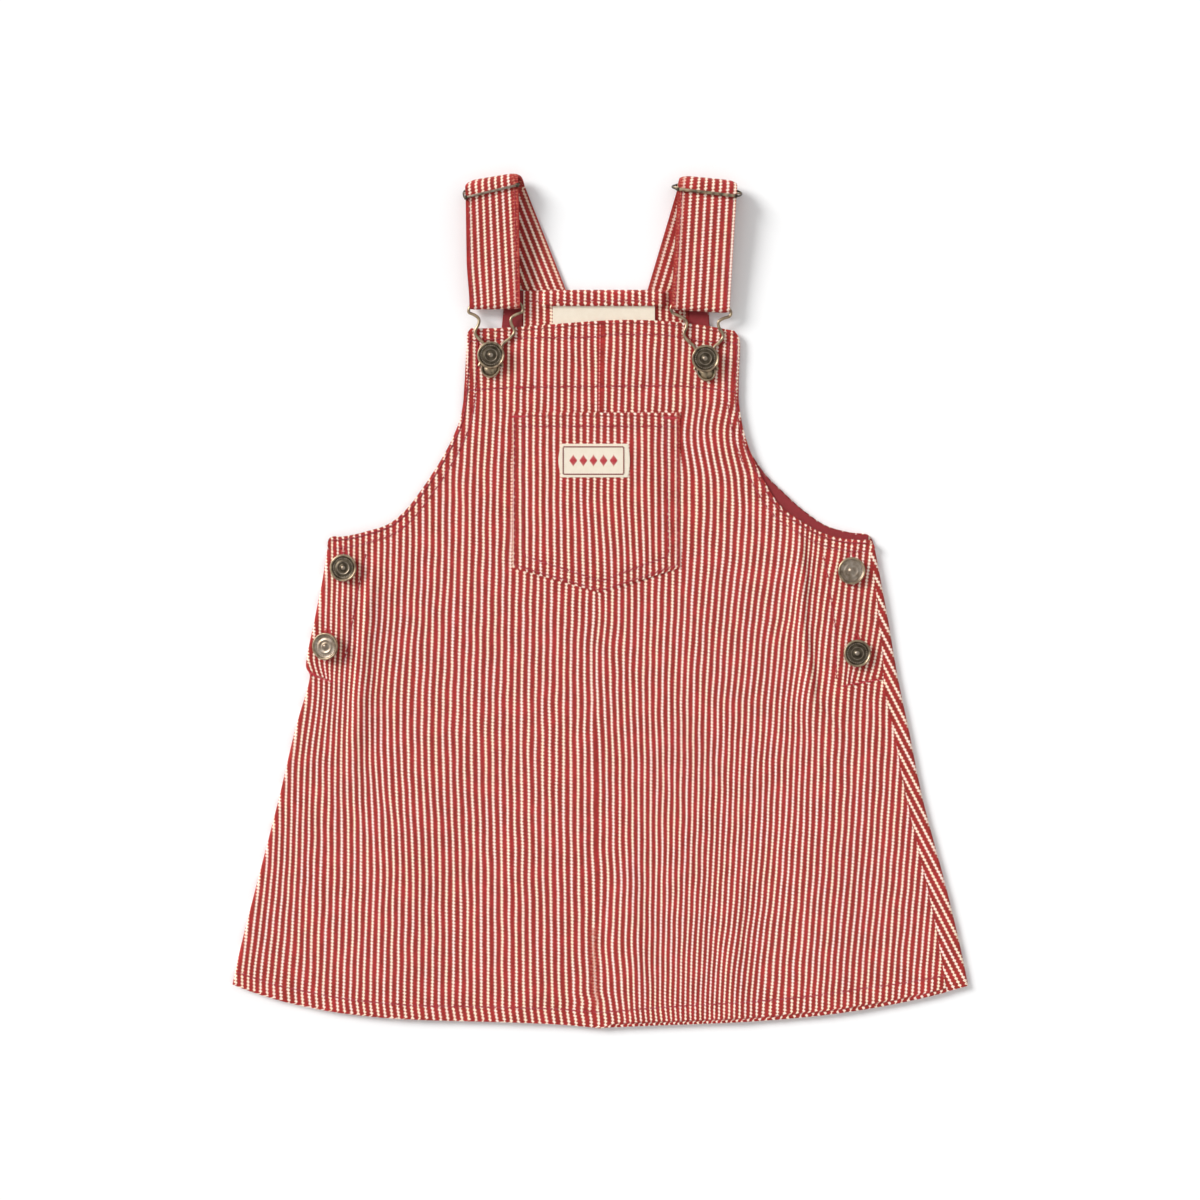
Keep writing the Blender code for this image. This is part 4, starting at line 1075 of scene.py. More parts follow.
class StrapPath:
    """The way of one strap, from the back neck round slider and hook to its end."""

    def __init__(self, spec):
        self.spec = spec
        lean, crease = math.radians(spec.lean), math.radians(spec.crease)
        self.up = Vector((math.sin(lean), math.cos(lean)))
        self.wide = Vector((math.cos(lean), -math.sin(lean)))
        self.along = Vector((math.cos(crease), math.sin(crease)))
        self.past = Vector((-math.sin(crease), math.cos(crease)))
        self.bottom = Vector((spec.bottom_x, spec.bottom_y))
        self.slant = self.wide.dot(self.past) / self.up.dot(self.past)
        self.back_way = self.along * (2 * self.along.dot(self.up)) - self.up

    def corner(self, w):
        """Less than 1 near the strap's sides, so that folds have rounded corners."""
        return 1 - FOLD_ROUNDING * abs(2 * w / self.spec.width) ** ROUNDING_POWER

    def nip(self, w, run):
        """How far the strap's left side is drawn in near its foot."""
        leftward = max(-2 * w / self.spec.width, 0.0)
        return self.spec.nip * leftward * (1 - smooth(run / NIP_LENGTH))

    def crease_point(self, w):
        return self.bottom + self.wide * w + self.up * (self.spec.length - w * self.slant)

    def round_slider(self, w, turn):
        reach = FOLD_REACH * math.sin(turn) * self.corner(w)
        pinch = 1 - FOLD_PINCH * math.sin(turn) ** 4
        flat = self.crease_point(w * pinch) + self.past * reach
        flat.x += self.spec.slip * smooth(turn / math.pi)
        return (*flat, SLIDER_Z + OUTER_LOOP * math.cos(turn))

    def behind(self, w, run):
        start = self.crease_point(w)
        way = self.back_way + self.along * self.spec.drift
        length = (BACK_NECK_Y - start.y) / way.y
        flat = start + way * (length * run) + Vector((self.spec.slip, 0.0))
        fallen = smooth(length * run / STRAP_DROP)
        return (*flat, mix(SLIDER_Z - OUTER_LOOP, STRAP / 2, fallen))

    def before(self, w, run, low, high):
        flat = self.bottom + self.wide * w + self.up * (self.spec.length - w * self.slant) * run
        flat += self.wide * self.nip(w, run)
        return (*flat, mix(low, high, smooth(run)))

    def round_hook(self, w, turn):
        flat = self.bottom + self.wide * (w + self.nip(w, 0.0))
        flat -= self.up * (LOOP * math.sin(turn) * self.corner(w))
        return (*flat, HOOK_BAR_Z + LOOP * math.cos(turn))

    def round_middle_bar(self, w, turn):
        flat = self.crease_point(w) + self.past * (LOOP * math.sin(turn))
        return (*flat, SLIDER_Z - LOOP * math.cos(turn))

    def free_end(self, w, run):
        flat = self.crease_point(w) - self.up * (FREE_END * run)
        low = HOOK_BAR_Z - LOOP
        under = self.before(w, 1 - FREE_END * run / self.spec.length, low, SLIDER_Z - LOOP)
        return (*flat, mix(SLIDER_Z + LOOP, under[2] + STRAP + GAP, smooth(run)))

    def front(self, w, run):
        """On the top length: run goes from 0 at the hook to 1 at the slider."""
        return self.before(w, run, HOOK_BAR_Z + LOOP, SLIDER_Z + OUTER_LOOP)

    def legs(self):
        low = HOOK_BAR_Z - LOOP
        return (
            Leg(36, 1, 1, RUBBED_BEHIND, SPARE_STRIPE, lambda w, s: self.behind(w, 1 - s)),
            Leg(18, 1, 1, 1.0, 0, lambda w, s: self.round_slider(w, math.pi * (1 - s))),
            Leg(48, 1, 0, 1.0, 0, lambda w, s: self.front(w, 1 - s)),
            Leg(14, 0, 0, 1.0, 0, lambda w, s: self.round_hook(w, math.pi * s)),
            Leg(40, 0, 1, 1.0, 0, lambda w, s: self.before(w, s, low, SLIDER_Z - LOOP)),
            Leg(12, 1, 1, 1.0, 0, lambda w, s: self.round_middle_bar(w, math.pi * s)),
            Leg(6, 1, 1, 1.0, 0, self.free_end),
        )

    def rungs(self):
        """In order along the strap: each rung's leg, its share of that, and how far up."""
        for leg in self.legs():
            for step in range(leg.rungs):
                share = step / leg.rungs
                yield leg, share, mix(leg.start, leg.end, share)
        yield leg, 1.0, leg.end


def strap_rows(spec):
    """The cloth of a strap, from the back neck to its free end."""
    columns, rows, run, last = 24, [], 0.0, None
    row_w = spec.width / 2 - STRAP_STITCH
    for leg, share, up in StrapPath(spec).rungs():
        first = mix(spec.foot_first, spec.fold_first, up)
        pitch = (mix(spec.foot_last, spec.fold_last, up) - first) / spec.stripes
        edge = EDGE_STRIPE + leg.spare
        middle = Vector(leg.point(0.0, share))
        if last is not None:
            run += (middle - last).length
        last = middle
        row = []
        for column in range(columns + 1):
            w = spec.width * (column / columns - 0.5)
            number = min(max((w - first) / pitch, -edge), spec.stripes + edge)
            seam = min(abs(row_w - abs(w)), SEAM_REACH)
            fray = leg.rubbed * math.exp(-((row_w - w * spec.frayed) / STRAP_FRAY_WIDTH) ** 2)
            row.append(Spot(*leg.point(w, share), number, run, seam, SEAM_REACH, fray))
        rows.append(row)
    return rows


# ---------------- wire and lathe
def mesh_of(name, points, faces, indices=None):
    """A mesh of points in millimetres; indices tell each face's material."""
    mesh = bpy.data.meshes.new(name)
    mesh.from_pydata([tuple(Vector(point) * MM) for point in points], [], faces)
    if indices:
        mesh.polygons.foreach_set("material_index", indices)
    mesh.shade_smooth()
    return mesh


def tube(points, radius, sides=12, closed=False):
    """Points and faces of a round wire; radius is a number or one for each point."""
    points = [Vector(point) for point in points]
    count = len(points)
    radii = [radius] * count if isinstance(radius, float) else radius
    side_way, rings = Vector((0.0, 0.0, 1.0)), []
    for index, point in enumerate(points):
        ahead = points[(index + 1) % count] if closed or index < count - 1 else point
        behind = points[index - 1] if closed or index > 0 else point
        way = (ahead - behind).normalized()
        side_way = (side_way - way * side_way.dot(way)).normalized()
        other = way.cross(side_way)
        turns = [2 * math.pi * step / sides for step in range(sides)]
        rings.append([point + (side_way * math.cos(t) + other * math.sin(t)) * radii[index]
                      for t in turns])
    faces = []
    for index in range(count if closed else count - 1):
        after = (index + 1) % count
        for step in range(sides):
            step_on = (step + 1) % sides
            faces.append((index * sides + step, after * sides + step,
                          after * sides + step_on, index * sides + step_on))
    flat = [point for ring in rings for point in ring]
    if not closed:
        faces.append(tuple(range(sides)))
        faces.append(tuple((count - 1) * sides + step for step in reversed(range(sides))))
    return flat, faces


def lathe(profile, steps):
    """Points and faces of a profile of (radius, height) turned about Z; ends on the axis."""
    points = [(0.0, 0.0, profile[0][1])]
    for radius, height in profile[1:-1]:
        for step in range(steps):
            turn = 2 * math.pi * step / steps
            points.append((radius * math.cos(turn), radius * math.sin(turn), height))
    points.append((0.0, 0.0, profile[-1][1]))
    rings = len(profile) - 2
    faces, bands = [], []
    for step in range(steps):
        step_on = (step + 1) % steps
        faces.append((0, 1 + step, 1 + step_on))
        bands.append(0)
        for ring in range(rings - 1):
            low, high = 1 + ring * steps, 1 + (ring + 1) * steps
            faces.append((low + step, high + step, high + step_on, low + step_on))
            bands.append(ring + 1)
        last = 1 + (rings - 1) * steps
        faces.append((last + step, len(points) - 1, last + step_on))
        bands.append(rings)
    return points, faces, bands


def joined(parts):
    """One list of points and one of faces, from several (points, faces)."""
    points, faces = [], []
    for more_points, more_faces in parts:
        base = len(points)
        points += list(more_points)
        faces += [tuple(base + corner for corner in face) for face in more_faces]
    return points, faces


# ---------------- sewing
STITCH, STITCH_GAP = 2.5, 0.6
THREAD = 0.42  # radius of the sewing thread
THREAD_SIDES = 6
SATIN = 0.24  # radius of the satin stitches
BAR_PITCH, BUTTONHOLE_PITCH = SATIN * 1.7, SATIN * 1.9
STITCH_RISE, STRAP_STITCH_RISE, SATIN_RISE = 0.2, 0.16, 0.3
STITCH_SINK = 0.4  # share of its radius that a stitch lies deeper at its ends
SHARES = (0.0, 0.12, 0.5, 0.88, 1.0)
SWELL = (0.35, 0.85, 1.0, 0.85, 0.35)


def stitch(start, end, radius, rise):
    """One stitch from start to end: a short thread that bows out of the cloth."""
    middle = []
    for share in SHARES:
        point = Vector(start).lerp(Vector(end), share)
        point.z += rise * math.sin(math.pi * share) - radius * STITCH_SINK
        middle.append(point)
    return tube(middle, [radius * swell for swell in SWELL], THREAD_SIDES)


def stitch_on(surface, ends, radius, rise):
    """One stitch between two (x, y) ends; surface(x, y) is the cloth's face."""
    start, end = [(x, y, surface(x, y)) for x, y in ends]
    return stitch(start, end, radius, rise)


def run_of_stitches(line, surface, length=STITCH, space=STITCH_GAP):
    """Stitches along a line of (x, y)."""
    parts, place, total = [], space, line_length(line)
    while place + length < total:
        ends = [point_at(line, place), point_at(line, place + length)]
        parts.append(stitch_on(surface, ends, THREAD, STITCH_RISE))
        place += length + space
    return parts


def point_at(line, distance):
    """The point of a line at a distance along it."""
    for start, end in zip(line, line[1:]):
        length = math.dist(start, end)
        if distance <= length:
            share = distance / length
            return tuple(mix(a, b, share) for a, b in zip(start, end))
        distance -= length
    return line[-1]


def satin_bar(tack, surface):
    """A bartack: close stitches across a bar."""
    slope = math.radians(tack.slope)
    way = Vector((math.cos(slope), math.sin(slope)))
    across = Vector((-way.y, way.x)) * tack.width / 2
    parts = []
    count = int(tack.length / BAR_PITCH)
    for step in range(count + 1):
        spot = Vector((tack.x, tack.y)) + way * (tack.length * (step / count - 0.5))
        parts.append(stitch_on(surface, (spot - across, spot + across), SATIN, SATIN_RISE))
    return parts


def buttonhole(centre, half_length, half_width, width, surface):
    """Close stitches round a long hole that runs up the dress."""
    straight = 2 * half_length
    half_way = straight + math.pi * half_width
    count = int(2 * half_way / BUTTONHOLE_PITCH)
    parts = []
    for step in range(count):
        place = 2 * half_way * step / count
        half = 1 if place < half_way else -1  # the second half is the first, turned round
        place -= 0 if half > 0 else half_way
        turn = max(place - straight, 0.0) / half_width
        way = Vector((math.cos(turn), math.sin(turn))) * half
        up = (min(place, straight) - half_length) * half
        spot = Vector(centre) + Vector((0.0, up)) + way * half_width
        parts.append(stitch_on(surface, (spot, spot + way * width), SATIN, SATIN_RISE))
    return parts


# ---------------- materials
def add(tree, kind, inputs=(), output=0, **settings):
    """Add a node with its settings, input values and links; gives one of its outputs."""
    new = tree.nodes.new("ShaderNode" + kind)
    for name, value in settings.items():
        setattr(new, name, value)
    for key, value in dict(inputs).items():
        if isinstance(value, bpy.types.NodeSocket):
            tree.links.new(value, new.inputs[key])
        else:
            new.inputs[key].default_value = value
    return new.outputs[output]


def shaded(name, roughness, **sockets):
    """A new material and its shader, with the values that are the same all over."""
    material = bpy.data.materials.new(name)
    material.use_nodes = True
    tree = material.node_tree
    shader = tree.nodes["Principled BSDF"]
    shader.inputs["Roughness"].default_value = roughness
    for socket, value in sockets.items():
        shader.inputs[socket.replace("_", " ")].default_value = value
    return material, tree, shader


# Sizes in the twill, in mm; its wales and beads are as coarse as they must be to show.
WALE = 0.9  # from one twill line to the next
BEAD = 1.83  # from one swelling of a stripe's edge to the next
GRAIN = 1.111  # the unevenness of its yarns
SPECK, DOT = 0.8333, 0.9091  # specks of dye, and dots of cream yarn where it is rubbed
STREAK = (1 / 0.4545, 1 / 4.0, 1.0)  # streaks of dye along the warp
CRIMSON_PATCH = 9.09
YELLOWED = (1 / 5.0, 1 / 33.33, 1.0)  # stretches of yellowed cream yarn
ROLL_CREASE = 1.85  # from a rolled edge to the crease along it, whose shade is painted
BEAD_DEPTH = GRAIN_DEPTH = 0.10  # in pitches of the stripes
BEAD_SLANT, BEAD_JITTER = 0.2, 1.2  # how the beads climb, and how unevenly


def stripe_distance(tree, number, beads, grain):
    """Distance from the middle of a cream stripe in pitches, beaded along its edges."""
    off = number
    for operation, value in (('ADD', 0.5), ('FRACT', 0.0), ('SUBTRACT', 0.5), ('ABSOLUTE', 0.0)):
        off = add(tree, "Math", {0: off, 1: value}, operation=operation)
    off = add(tree, "Math", {0: beads, 1: BEAD_DEPTH, 2: off}, operation='MULTIPLY_ADD')
    return add(tree, "Math", {0: grain, 1: GRAIN_DEPTH, 2: off}, operation='MULTIPLY_ADD')


def red_yarn(tree, look, cloth, speck):
    """Dyed yarn: streaks along the warp, and larger patches where the dye is crimson."""
    streak = add(tree, "VectorMath", {0: cloth, 1: STREAK}, operation='MULTIPLY')
    streak = add(tree, "TexNoise", {"Vector": streak, "Scale": 1.0, "Detail": 3.0})
    mottle = add(tree, "Math", {0: streak, 1: speck}, operation='ADD')
    mottle = add(tree, "MapRange", {"Value": mottle, "From Min": 0.75, "From Max": 1.25})
    red = add(tree, "Mix", {0: mottle, 6: (*look.red_dark, 1.0), 7: (*look.red, 1.0)}, 2,
              data_type='RGBA')
    patch = add(tree, "TexNoise", {"Vector": cloth, "Scale": 1 / CRIMSON_PATCH, "Detail": 2.0})
    patch = add(tree, "MapRange", {"Value": patch, "From Min": 0.42, "From Max": 0.68})
    red = add(tree, "Mix", {0: patch, 6: red, 7: (*look.crimson, 1.0)}, 2, data_type='RGBA')
    fleck = add(tree, "MapRange", {"Value": speck, "From Min": 0.25, "From Max": 0.75,
                                   "To Min": 0.80, "To Max": 1.22})
    return add(tree, "VectorMath", {0: red, 1: fleck}, operation='MULTIPLY')


def cream_yarn(tree, look, cloth, core):
    """Undyed yarn: yellowed in stretches, and peach where it meets the red."""
    tint = add(tree, "VectorMath", {0: cloth, 1: YELLOWED}, operation='MULTIPLY')
    tint = add(tree, "TexNoise", {"Vector": tint, "Scale": 1.0, "Detail": 1.0})
    tint = add(tree, "MapRange", {"Value": tint, "From Min": 0.35, "From Max": 0.65})
    yarn = add(tree, "Mix", {0: tint, 6: (*look.cream, 1.0), 7: (*look.cream_warm, 1.0)}, 2,
               data_type='RGBA')
    return add(tree, "Mix", {0: core, 6: (*look.cream_edge, 1.0), 7: yarn}, 2, data_type='RGBA')


def rubbed_cloth(tree, look, colour, red, beads):
    """Cloth rubbed at a frayed edge shows dots of its cream yarn through the red."""
    fray = add(tree, "Attribute", output="Fac", attribute_name="fray")
    spot = add(tree, "NewGeometry")
    dots = add(tree, "TexNoise", {"Vector": spot, "Scale": 1 / DOT / MM, "Detail": 1.0})
    dots = add(tree, "Math", {0: beads, 1: -0.12, 2: dots}, operation='MULTIPLY_ADD')
    dots = add(tree, "MapRange", {"Value": dots, "From Min": 0.5, "From Max": 0.62})
    dots = add(tree, "Math", {0: dots, 1: fray}, operation='MULTIPLY')
    dull = add(tree, "Math", {0: fray, 1: 0.5}, operation='MULTIPLY')
    colour = add(tree, "Mix", {0: dull, 6: colour, 7: red}, 2, data_type='RGBA')
    return add(tree, "Mix", {0: dots, 6: colour, 7: (*look.frayed, 1.0)}, 2, data_type='RGBA')


def yarn_dyed_twill(look):
    """Cotton twill woven with dyed yarns: serrated cream stripes in brick red, matt."""
    material, tree, shader = shaded("yarn_dyed_twill", 0.9, Sheen_Weight=0.04,
                                    Sheen_Roughness=0.5)
    number = add(tree, "SeparateXYZ", {0: add(tree, "UVMap", uv_map="cloth")})
    along = number.node.outputs[1]
    across = add(tree, "Math", {0: number, 1: STRIPE}, operation='MULTIPLY')
    cloth = add(tree, "CombineXYZ", {0: across, 1: along})
    grain = add(tree, "TexNoise", {"Vector": cloth, "Scale": 1 / GRAIN, "Detail": 2.0})
    speck = add(tree, "TexNoise", {"Vector": cloth, "Scale": 1 / SPECK, "Detail": 1.0})

    # The edges of the stripes swell and shrink with the twill, in beads.
    beads = add(tree, "Math", {0: number, 1: STRIPE * BEAD_SLANT, 2: along},
                operation='MULTIPLY_ADD')
    beads = add(tree, "Math", {0: beads, 1: 2 * math.pi / BEAD}, operation='MULTIPLY')
    beads = add(tree, "Math", {0: grain, 1: BEAD_JITTER, 2: beads}, operation='MULTIPLY_ADD')
    beads = add(tree, "Math", {0: beads}, operation='SINE')
    off = stripe_distance(tree, number, beads, grain)
    edge = look.cream_share / 2 + GRAIN_DEPTH / 2  # the grain is 0.5 on average
    cream = add(tree, "MapRange", {"Value": off, "From Min": edge + 0.02, "From Max": edge - 0.02},
                interpolation_type='SMOOTHSTEP')
    core = add(tree, "MapRange", {"Value": off, "From Min": edge - 0.01, "From Max": edge - 0.06},
               interpolation_type='SMOOTHSTEP')

    # A rolled edge has a thin crease along it; there the red is drawn over the cream as painted
    # shade.
    roll = add(tree, "Attribute", output="Fac", attribute_name="edge")
    roll = add(tree, "Math", {0: roll, 1: ROLL_CREASE}, operation='SUBTRACT')
    roll = add(tree, "Math", {0: roll}, operation='ABSOLUTE')
    roll = add(tree, "MapRange", {"Value": roll, "From Min": 0.2, "From Max": 0.5,
                                  "To Min": 0.25, "To Max": 1.0})
    cream = add(tree, "Math", {0: cream, 1: roll}, operation='MULTIPLY')
    red, undyed = red_yarn(tree, look, cloth, speck), cream_yarn(tree, look, cloth, core)
    colour = add(tree, "Mix", {0: cream, 6: red, 7: undyed}, 2, data_type='RGBA')
    colour = rubbed_cloth(tree, look, colour, red, beads)

    # Stitching pulls the cloth into a groove; the colour is darkened a little there, and in the
    # crease, as painted shade.
    groove = add(tree, "Attribute", output="Fac", attribute_name="seam")
    groove = add(tree, "MapRange", {"Value": groove, "From Min": 0.2, "From Max": 1.2,
                                    "To Min": 0.92, "To Max": 1.0})
    # painted shade in the crease along a rolled edge
    roll = add(tree, "MapRange", {"Value": roll, "To Min": 0.72, "To Max": 1.0})
    groove = add(tree, "Math", {0: groove, 1: roll}, operation='MULTIPLY')
    colour = add(tree, "VectorMath", {0: colour, 1: groove}, operation='MULTIPLY')
    tree.links.new(colour, shader.inputs["Base Color"])

    # The twill lines run up to the right.
    wale = add(tree, "Math", {0: across, 1: along}, operation='ADD')
    wale = add(tree, "Math", {0: wale, 1: 2 * math.pi / WALE}, operation='MULTIPLY')
    wale = add(tree, "Math", {0: wale}, operation='SINE')
    height = add(tree, "Math", {0: wale, 1: 0.35, 2: speck}, operation='MULTIPLY_ADD')
    height = add(tree, "Math", {0: cream, 1: 0.5, 2: height}, operation='MULTIPLY_ADD')
    bump = add(tree, "Bump", {"Height": height, "Strength": 0.6, "Distance": 0.12 * MM})
    tree.links.new(bump, shader.inputs["Normal"])
    return material


SLUB = 2.857  # thick places in plain-woven yarn


def plain_weave(name, colour, dark, thread, roughness=0.85):
    """Fine plain-woven cotton or tape; thread is the spacing of its threads in mm."""
    material, tree, shader = shaded(name, roughness, Sheen_Weight=0.1, Sheen_Roughness=0.5)
    spot = add(tree, "VectorMath", {0: add(tree, "NewGeometry"), 3: 1 / MM}, operation='SCALE')
    flat = add(tree, "SeparateXYZ", {0: spot}).node
    waves = []
    for axis in (0, 1):
        wave = add(tree, "Math", {0: flat.outputs[axis], 1: 2 * math.pi / thread},
                   operation='MULTIPLY')
        waves.append(add(tree, "Math", {0: wave}, operation='SINE'))
    weave = add(tree, "Math", {0: waves[0], 1: waves[1]}, operation='MULTIPLY')
    slub = add(tree, "TexNoise", {"Vector": spot, "Scale": 1 / SLUB, "Detail": 3.0})
    tone = add(tree, "Math", {0: weave, 1: 0.18, 2: slub}, operation='MULTIPLY_ADD')
    mixed = add(tree, "Mix", {0: tone, 6: (*dark, 1.0), 7: (*colour, 1.0)}, 2, data_type='RGBA')
    tree.links.new(mixed, shader.inputs["Base Color"])
    height = add(tree, "Math", {0: weave, 1: slub}, operation='ADD')
    bump = add(tree, "Bump", {"Height": height, "Strength": 0.5, "Distance": 0.1 * MM})
    tree.links.new(bump, shader.inputs["Normal"])
    return material


def cotton_poplin(look):
    """Plain dyed cotton of the armhole facings: even, dark and matt."""
    return plain_weave("cotton_poplin", look.facing, look.facing_dark, 0.7)


def woven_tape(look):
    """Cream label tape, woven close and a little glossier than the cloth."""
    return plain_weave("woven_tape", look.label, look.label_dark, 0.6, 0.7)


TWIST = 0.4545  # one turn of a sewing thread's plies


def spun_thread(name, colour):
    """Spun polyester sewing thread: a soft shine along its twist."""
    material, tree, shader = shaded(name, 0.6, Sheen_Weight=0.2)
    twist = add(tree, "TexNoise", {"Vector": add(tree, "NewGeometry"),
                                   "Scale": 1 / TWIST / MM, "Detail": 1.0})
    dark = tuple(channel * 0.8 for channel in colour)
    mixed = add(tree, "Mix", {0: twist, 6: (*dark, 1.0), 7: (*colour, 1.0)}, 2, data_type='RGBA')
    tree.links.new(mixed, shader.inputs["Base Color"])
    return material


BLOTCH, RUB = 2.857, 0.4  # brown blotches on the brass, and the fine marks of its rubbing


def brass(name, colour, dark, roughness):
    """Antique-plated brass: browned in the hollows, rubbed on what stands up."""
    material, tree, shader = shaded(name, roughness, Metallic=1.0)
    spot = add(tree, "NewGeometry")
    tone = add(tree, "TexNoise", {"Vector": spot, "Scale": 1 / BLOTCH / MM, "Detail": 4.0})
    tone = add(tree, "MapRange", {"Value": tone, "From Min": 0.35, "From Max": 0.65})
    mixed = add(tree, "Mix", {0: tone, 6: (*dark, 1.0), 7: (*colour, 1.0)}, 2, data_type='RGBA')
    tree.links.new(mixed, shader.inputs["Base Color"])
    fine = add(tree, "TexNoise", {"Vector": spot, "Scale": 1 / RUB / MM, "Detail": 2.0})
    rough = add(tree, "MapRange", {"Value": fine, "To Min": roughness - 0.1,
                                   "To Max": roughness + 0.15})
    tree.links.new(rough, shader.inputs["Roughness"])
    bump = add(tree, "Bump", {"Height": fine, "Strength": 0.3, "Distance": 0.05 * MM})
    tree.links.new(bump, shader.inputs["Normal"])
    return material


def rubbed_brass(look):
    """Brass where hands and cloth rub it: bright and the glossiest."""
    return brass("rubbed_brass", look.brass_light, look.brass, 0.34)


def browned_brass(look):
    """Brass in the hollows, where its brown plating is whole."""
    return brass("browned_brass", look.brass_dark, look.brass_black, 0.42)


def worn_brass(look):
    """Brass worn grey."""
    return brass("worn_brass", look.brass_worn, look.brass, 0.38)


def olive_brass(look):
    """Brass half rubbed, in light and brown blotches."""
    return brass("olive_brass", look.brass_light, look.brass_dark, 0.40)


def seam_thread(look):
    """The crimson thread of the topstitching."""
    return spun_thread("seam_thread", look.seam_thread)


def satin_thread(look):
    """The brighter red thread of bartacks and buttonholes, which lies close."""
    return spun_thread("satin_thread", look.satin_thread)


def faded_thread(look):
    """The thread down the centre front, faded to pink."""
    return spun_thread("faded_thread", look.faded_thread)


def label_thread(look):
    """The dark red thread woven into the pocket's label."""
    return spun_thread("label_thread", look.label_thread)


def floor_paper(_look):
    """White background paper under the dress: matt, so that it takes a soft shadow."""
    return shaded("floor_paper", 0.95, Base_Color=(0.99, 0.99, 0.99, 1.0))[0]


FINISHES = (yarn_dyed_twill, cotton_poplin, woven_tape, rubbed_brass, browned_brass, worn_brass,
            olive_brass, seam_thread, satin_thread, faded_thread, label_thread, floor_paper)


def finish(name):
    """The material of that name, made when it is first asked for."""
    found = bpy.data.materials.get(name)
    if found is None:
        make = next(make for make in FINISHES if make.__name__ == name)
        found = make(bpy.context.scene.pinafore)
    return found


# ---------------- what is made
def make_fronts():
    # Here a front's flat size is in metres and its area in square metres.
    for side, name, flat, area in ((-1, "front_left", (0.216, 0.404), 0.064),
                                   (1, "front_right", (0.205, 0.404), 0.058)):
        piece = cloth_piece(name + "_twill", front_rows(side), CLOTH, name)


def facing_mid(x, y):
    """Middle of the back neck facing: its upper band lies over the label's top edge."""
    beside = smooth((abs(x - LABEL_MIDDLE) - LABEL_REACH) / NECK_BAND_BESIDE)
    rise = smooth((y - NECK_BAND_FOOT) / NECK_BAND_STEP)
    rise *= 1 - smooth((y - NECK_BAND_TOP) / NECK_BAND_ROLL)
    return FACING_MID + NECK_BAND_RISE * rise * (1 - beside)


def make_back():
    piece = cloth_piece("back_twill", back_rows(), CLOTH, "back_panel")
    finder = Lines([[(BACK_FACING.left, NECK_STITCH_Y), (BACK_FACING.right, NECK_STITCH_Y)]])
    rows = area_rows(NECK_AREA, 0.5, facing_mid, facing_stripe, finder)
    piece = cloth_piece("back_neck_facing", rows, THIN, "back_facing")
    for side, word in ((-1, "left"), (1, "right")):
        piece = cloth_piece("armhole_poplin_" + word, armhole_facing_rows(side), THIN,
                            "armhole_facing_" + word, "cotton_poplin")


def make_pocket():
    rows = grid(POCKET_COLUMNS, POCKET_STEPS, pocket_spot)
    piece = cloth_piece("pocket_twill", rows, POCKET_WALL, "chest_pocket")


def label_bulge(x, y):
    """The x of a point of the pocket's label once its sides bow out."""
    area = POCKET_LABEL
    middle = (area.left + area.right) / 2
    share = (x - middle) / (area.right - middle)
    bow_out = math.sin(math.pi * (area.top - y) / (area.top - area.bottom)) - LABEL_WAIST
    return x + LABEL_BULGE[0 if x < middle else 1] * share * bow_out


def pocket_label_mid(x, y):
    return pocket_mid(x, y) + POCKET_WALL / 2 + TAPE_LIFT + POCKET_TAPE / 2


def pocket_label_face(x, y):
    return pocket_label_mid(x, y) + POCKET_TAPE / 2


def lozenge(x, y):
    """A small diamond of upright satin stitches."""
    parts = []
    count = round(LOZENGE_HALF_WIDTH * 2 / LOZENGE_PITCH)
    for step in range(1, count):
        aside = LOZENGE_HALF_WIDTH * (step / count * 2 - 1)
        reach = LOZENGE_HALF_HEIGHT * (1 - abs(aside) / LOZENGE_HALF_WIDTH)
        ends = ((x + aside, y + reach), (x + aside, y - reach))
        parts.append(stitch_on(pocket_label_face, ends, LOZENGE_THREAD, LOZENGE_RISE))
    return parts


def thread_piece(name, parts, material):
    """One piece of many stitches, all in one thread."""
    new_piece(name, mesh_of(name, *joined(parts)), [material])


def make_labels():
    none = Lines([])
    rows = area_rows(NECK_TAPE, 1.2, lambda x, y: LABEL_MID, facing_stripe, none)
    piece = cloth_piece("neck_tape", rows, THIN, "neck_label", "woven_tape")
    rows = area_rows(POCKET_LABEL, 0.9, pocket_label_mid, facing_stripe, none)
    rows = [[spot._replace(x=label_bulge(spot.x, spot.y)) for spot in row] for row in rows]
    piece = cloth_piece("pocket_tape", rows, POCKET_TAPE, "pocket_label", "woven_tape")
    left, right, top, bottom = LABEL_FRAME
    corners = [(left, top), (right, top), (right, bottom), (left, bottom), (left, top)]
    parts = []
    for line in zip(corners, corners[1:]):
        parts += run_of_stitches(line, pocket_label_face, length=1.1, space=0.12)
    thread_piece("label_frame_thread", parts, "label_thread")
    parts = []
    for index in range(1, LOZENGES + 1):
        parts += lozenge(mix(left, right, index / (LOZENGES + 1)), (top + bottom) / 2)
    thread_piece("label_lozenge_thread", parts, "satin_thread")


def make_straps():
    for spec in STRAPS:
        piece = cloth_piece("strap_twill_" + spec.side, strap_rows(spec), STRAP,
                            "strap_" + spec.side)


def front_face(x, y):
    return front_mid(x, y, SEAM_REACH) + CLOTH / 2 - SUNK


def pocket_face(x, y):
    return pocket_mid(x, y, SEAM_REACH) + POCKET_WALL / 2 - SUNK


def strap_stitches(line):
    """Stitches on a strap's top face, along a line of (x, y, z)."""
    parts, place, total = [], STITCH_GAP, line_length(line)
    lift = Vector((0.0, 0.0, STRAP / 2))
    while place + STITCH < total:
        ends = [Vector(point_at(line, run)) + lift for run in (place, place + STITCH)]
        parts.append(stitch(*ends, THREAD, STRAP_STITCH_RISE))
        place += STITCH + STITCH_GAP
    return parts


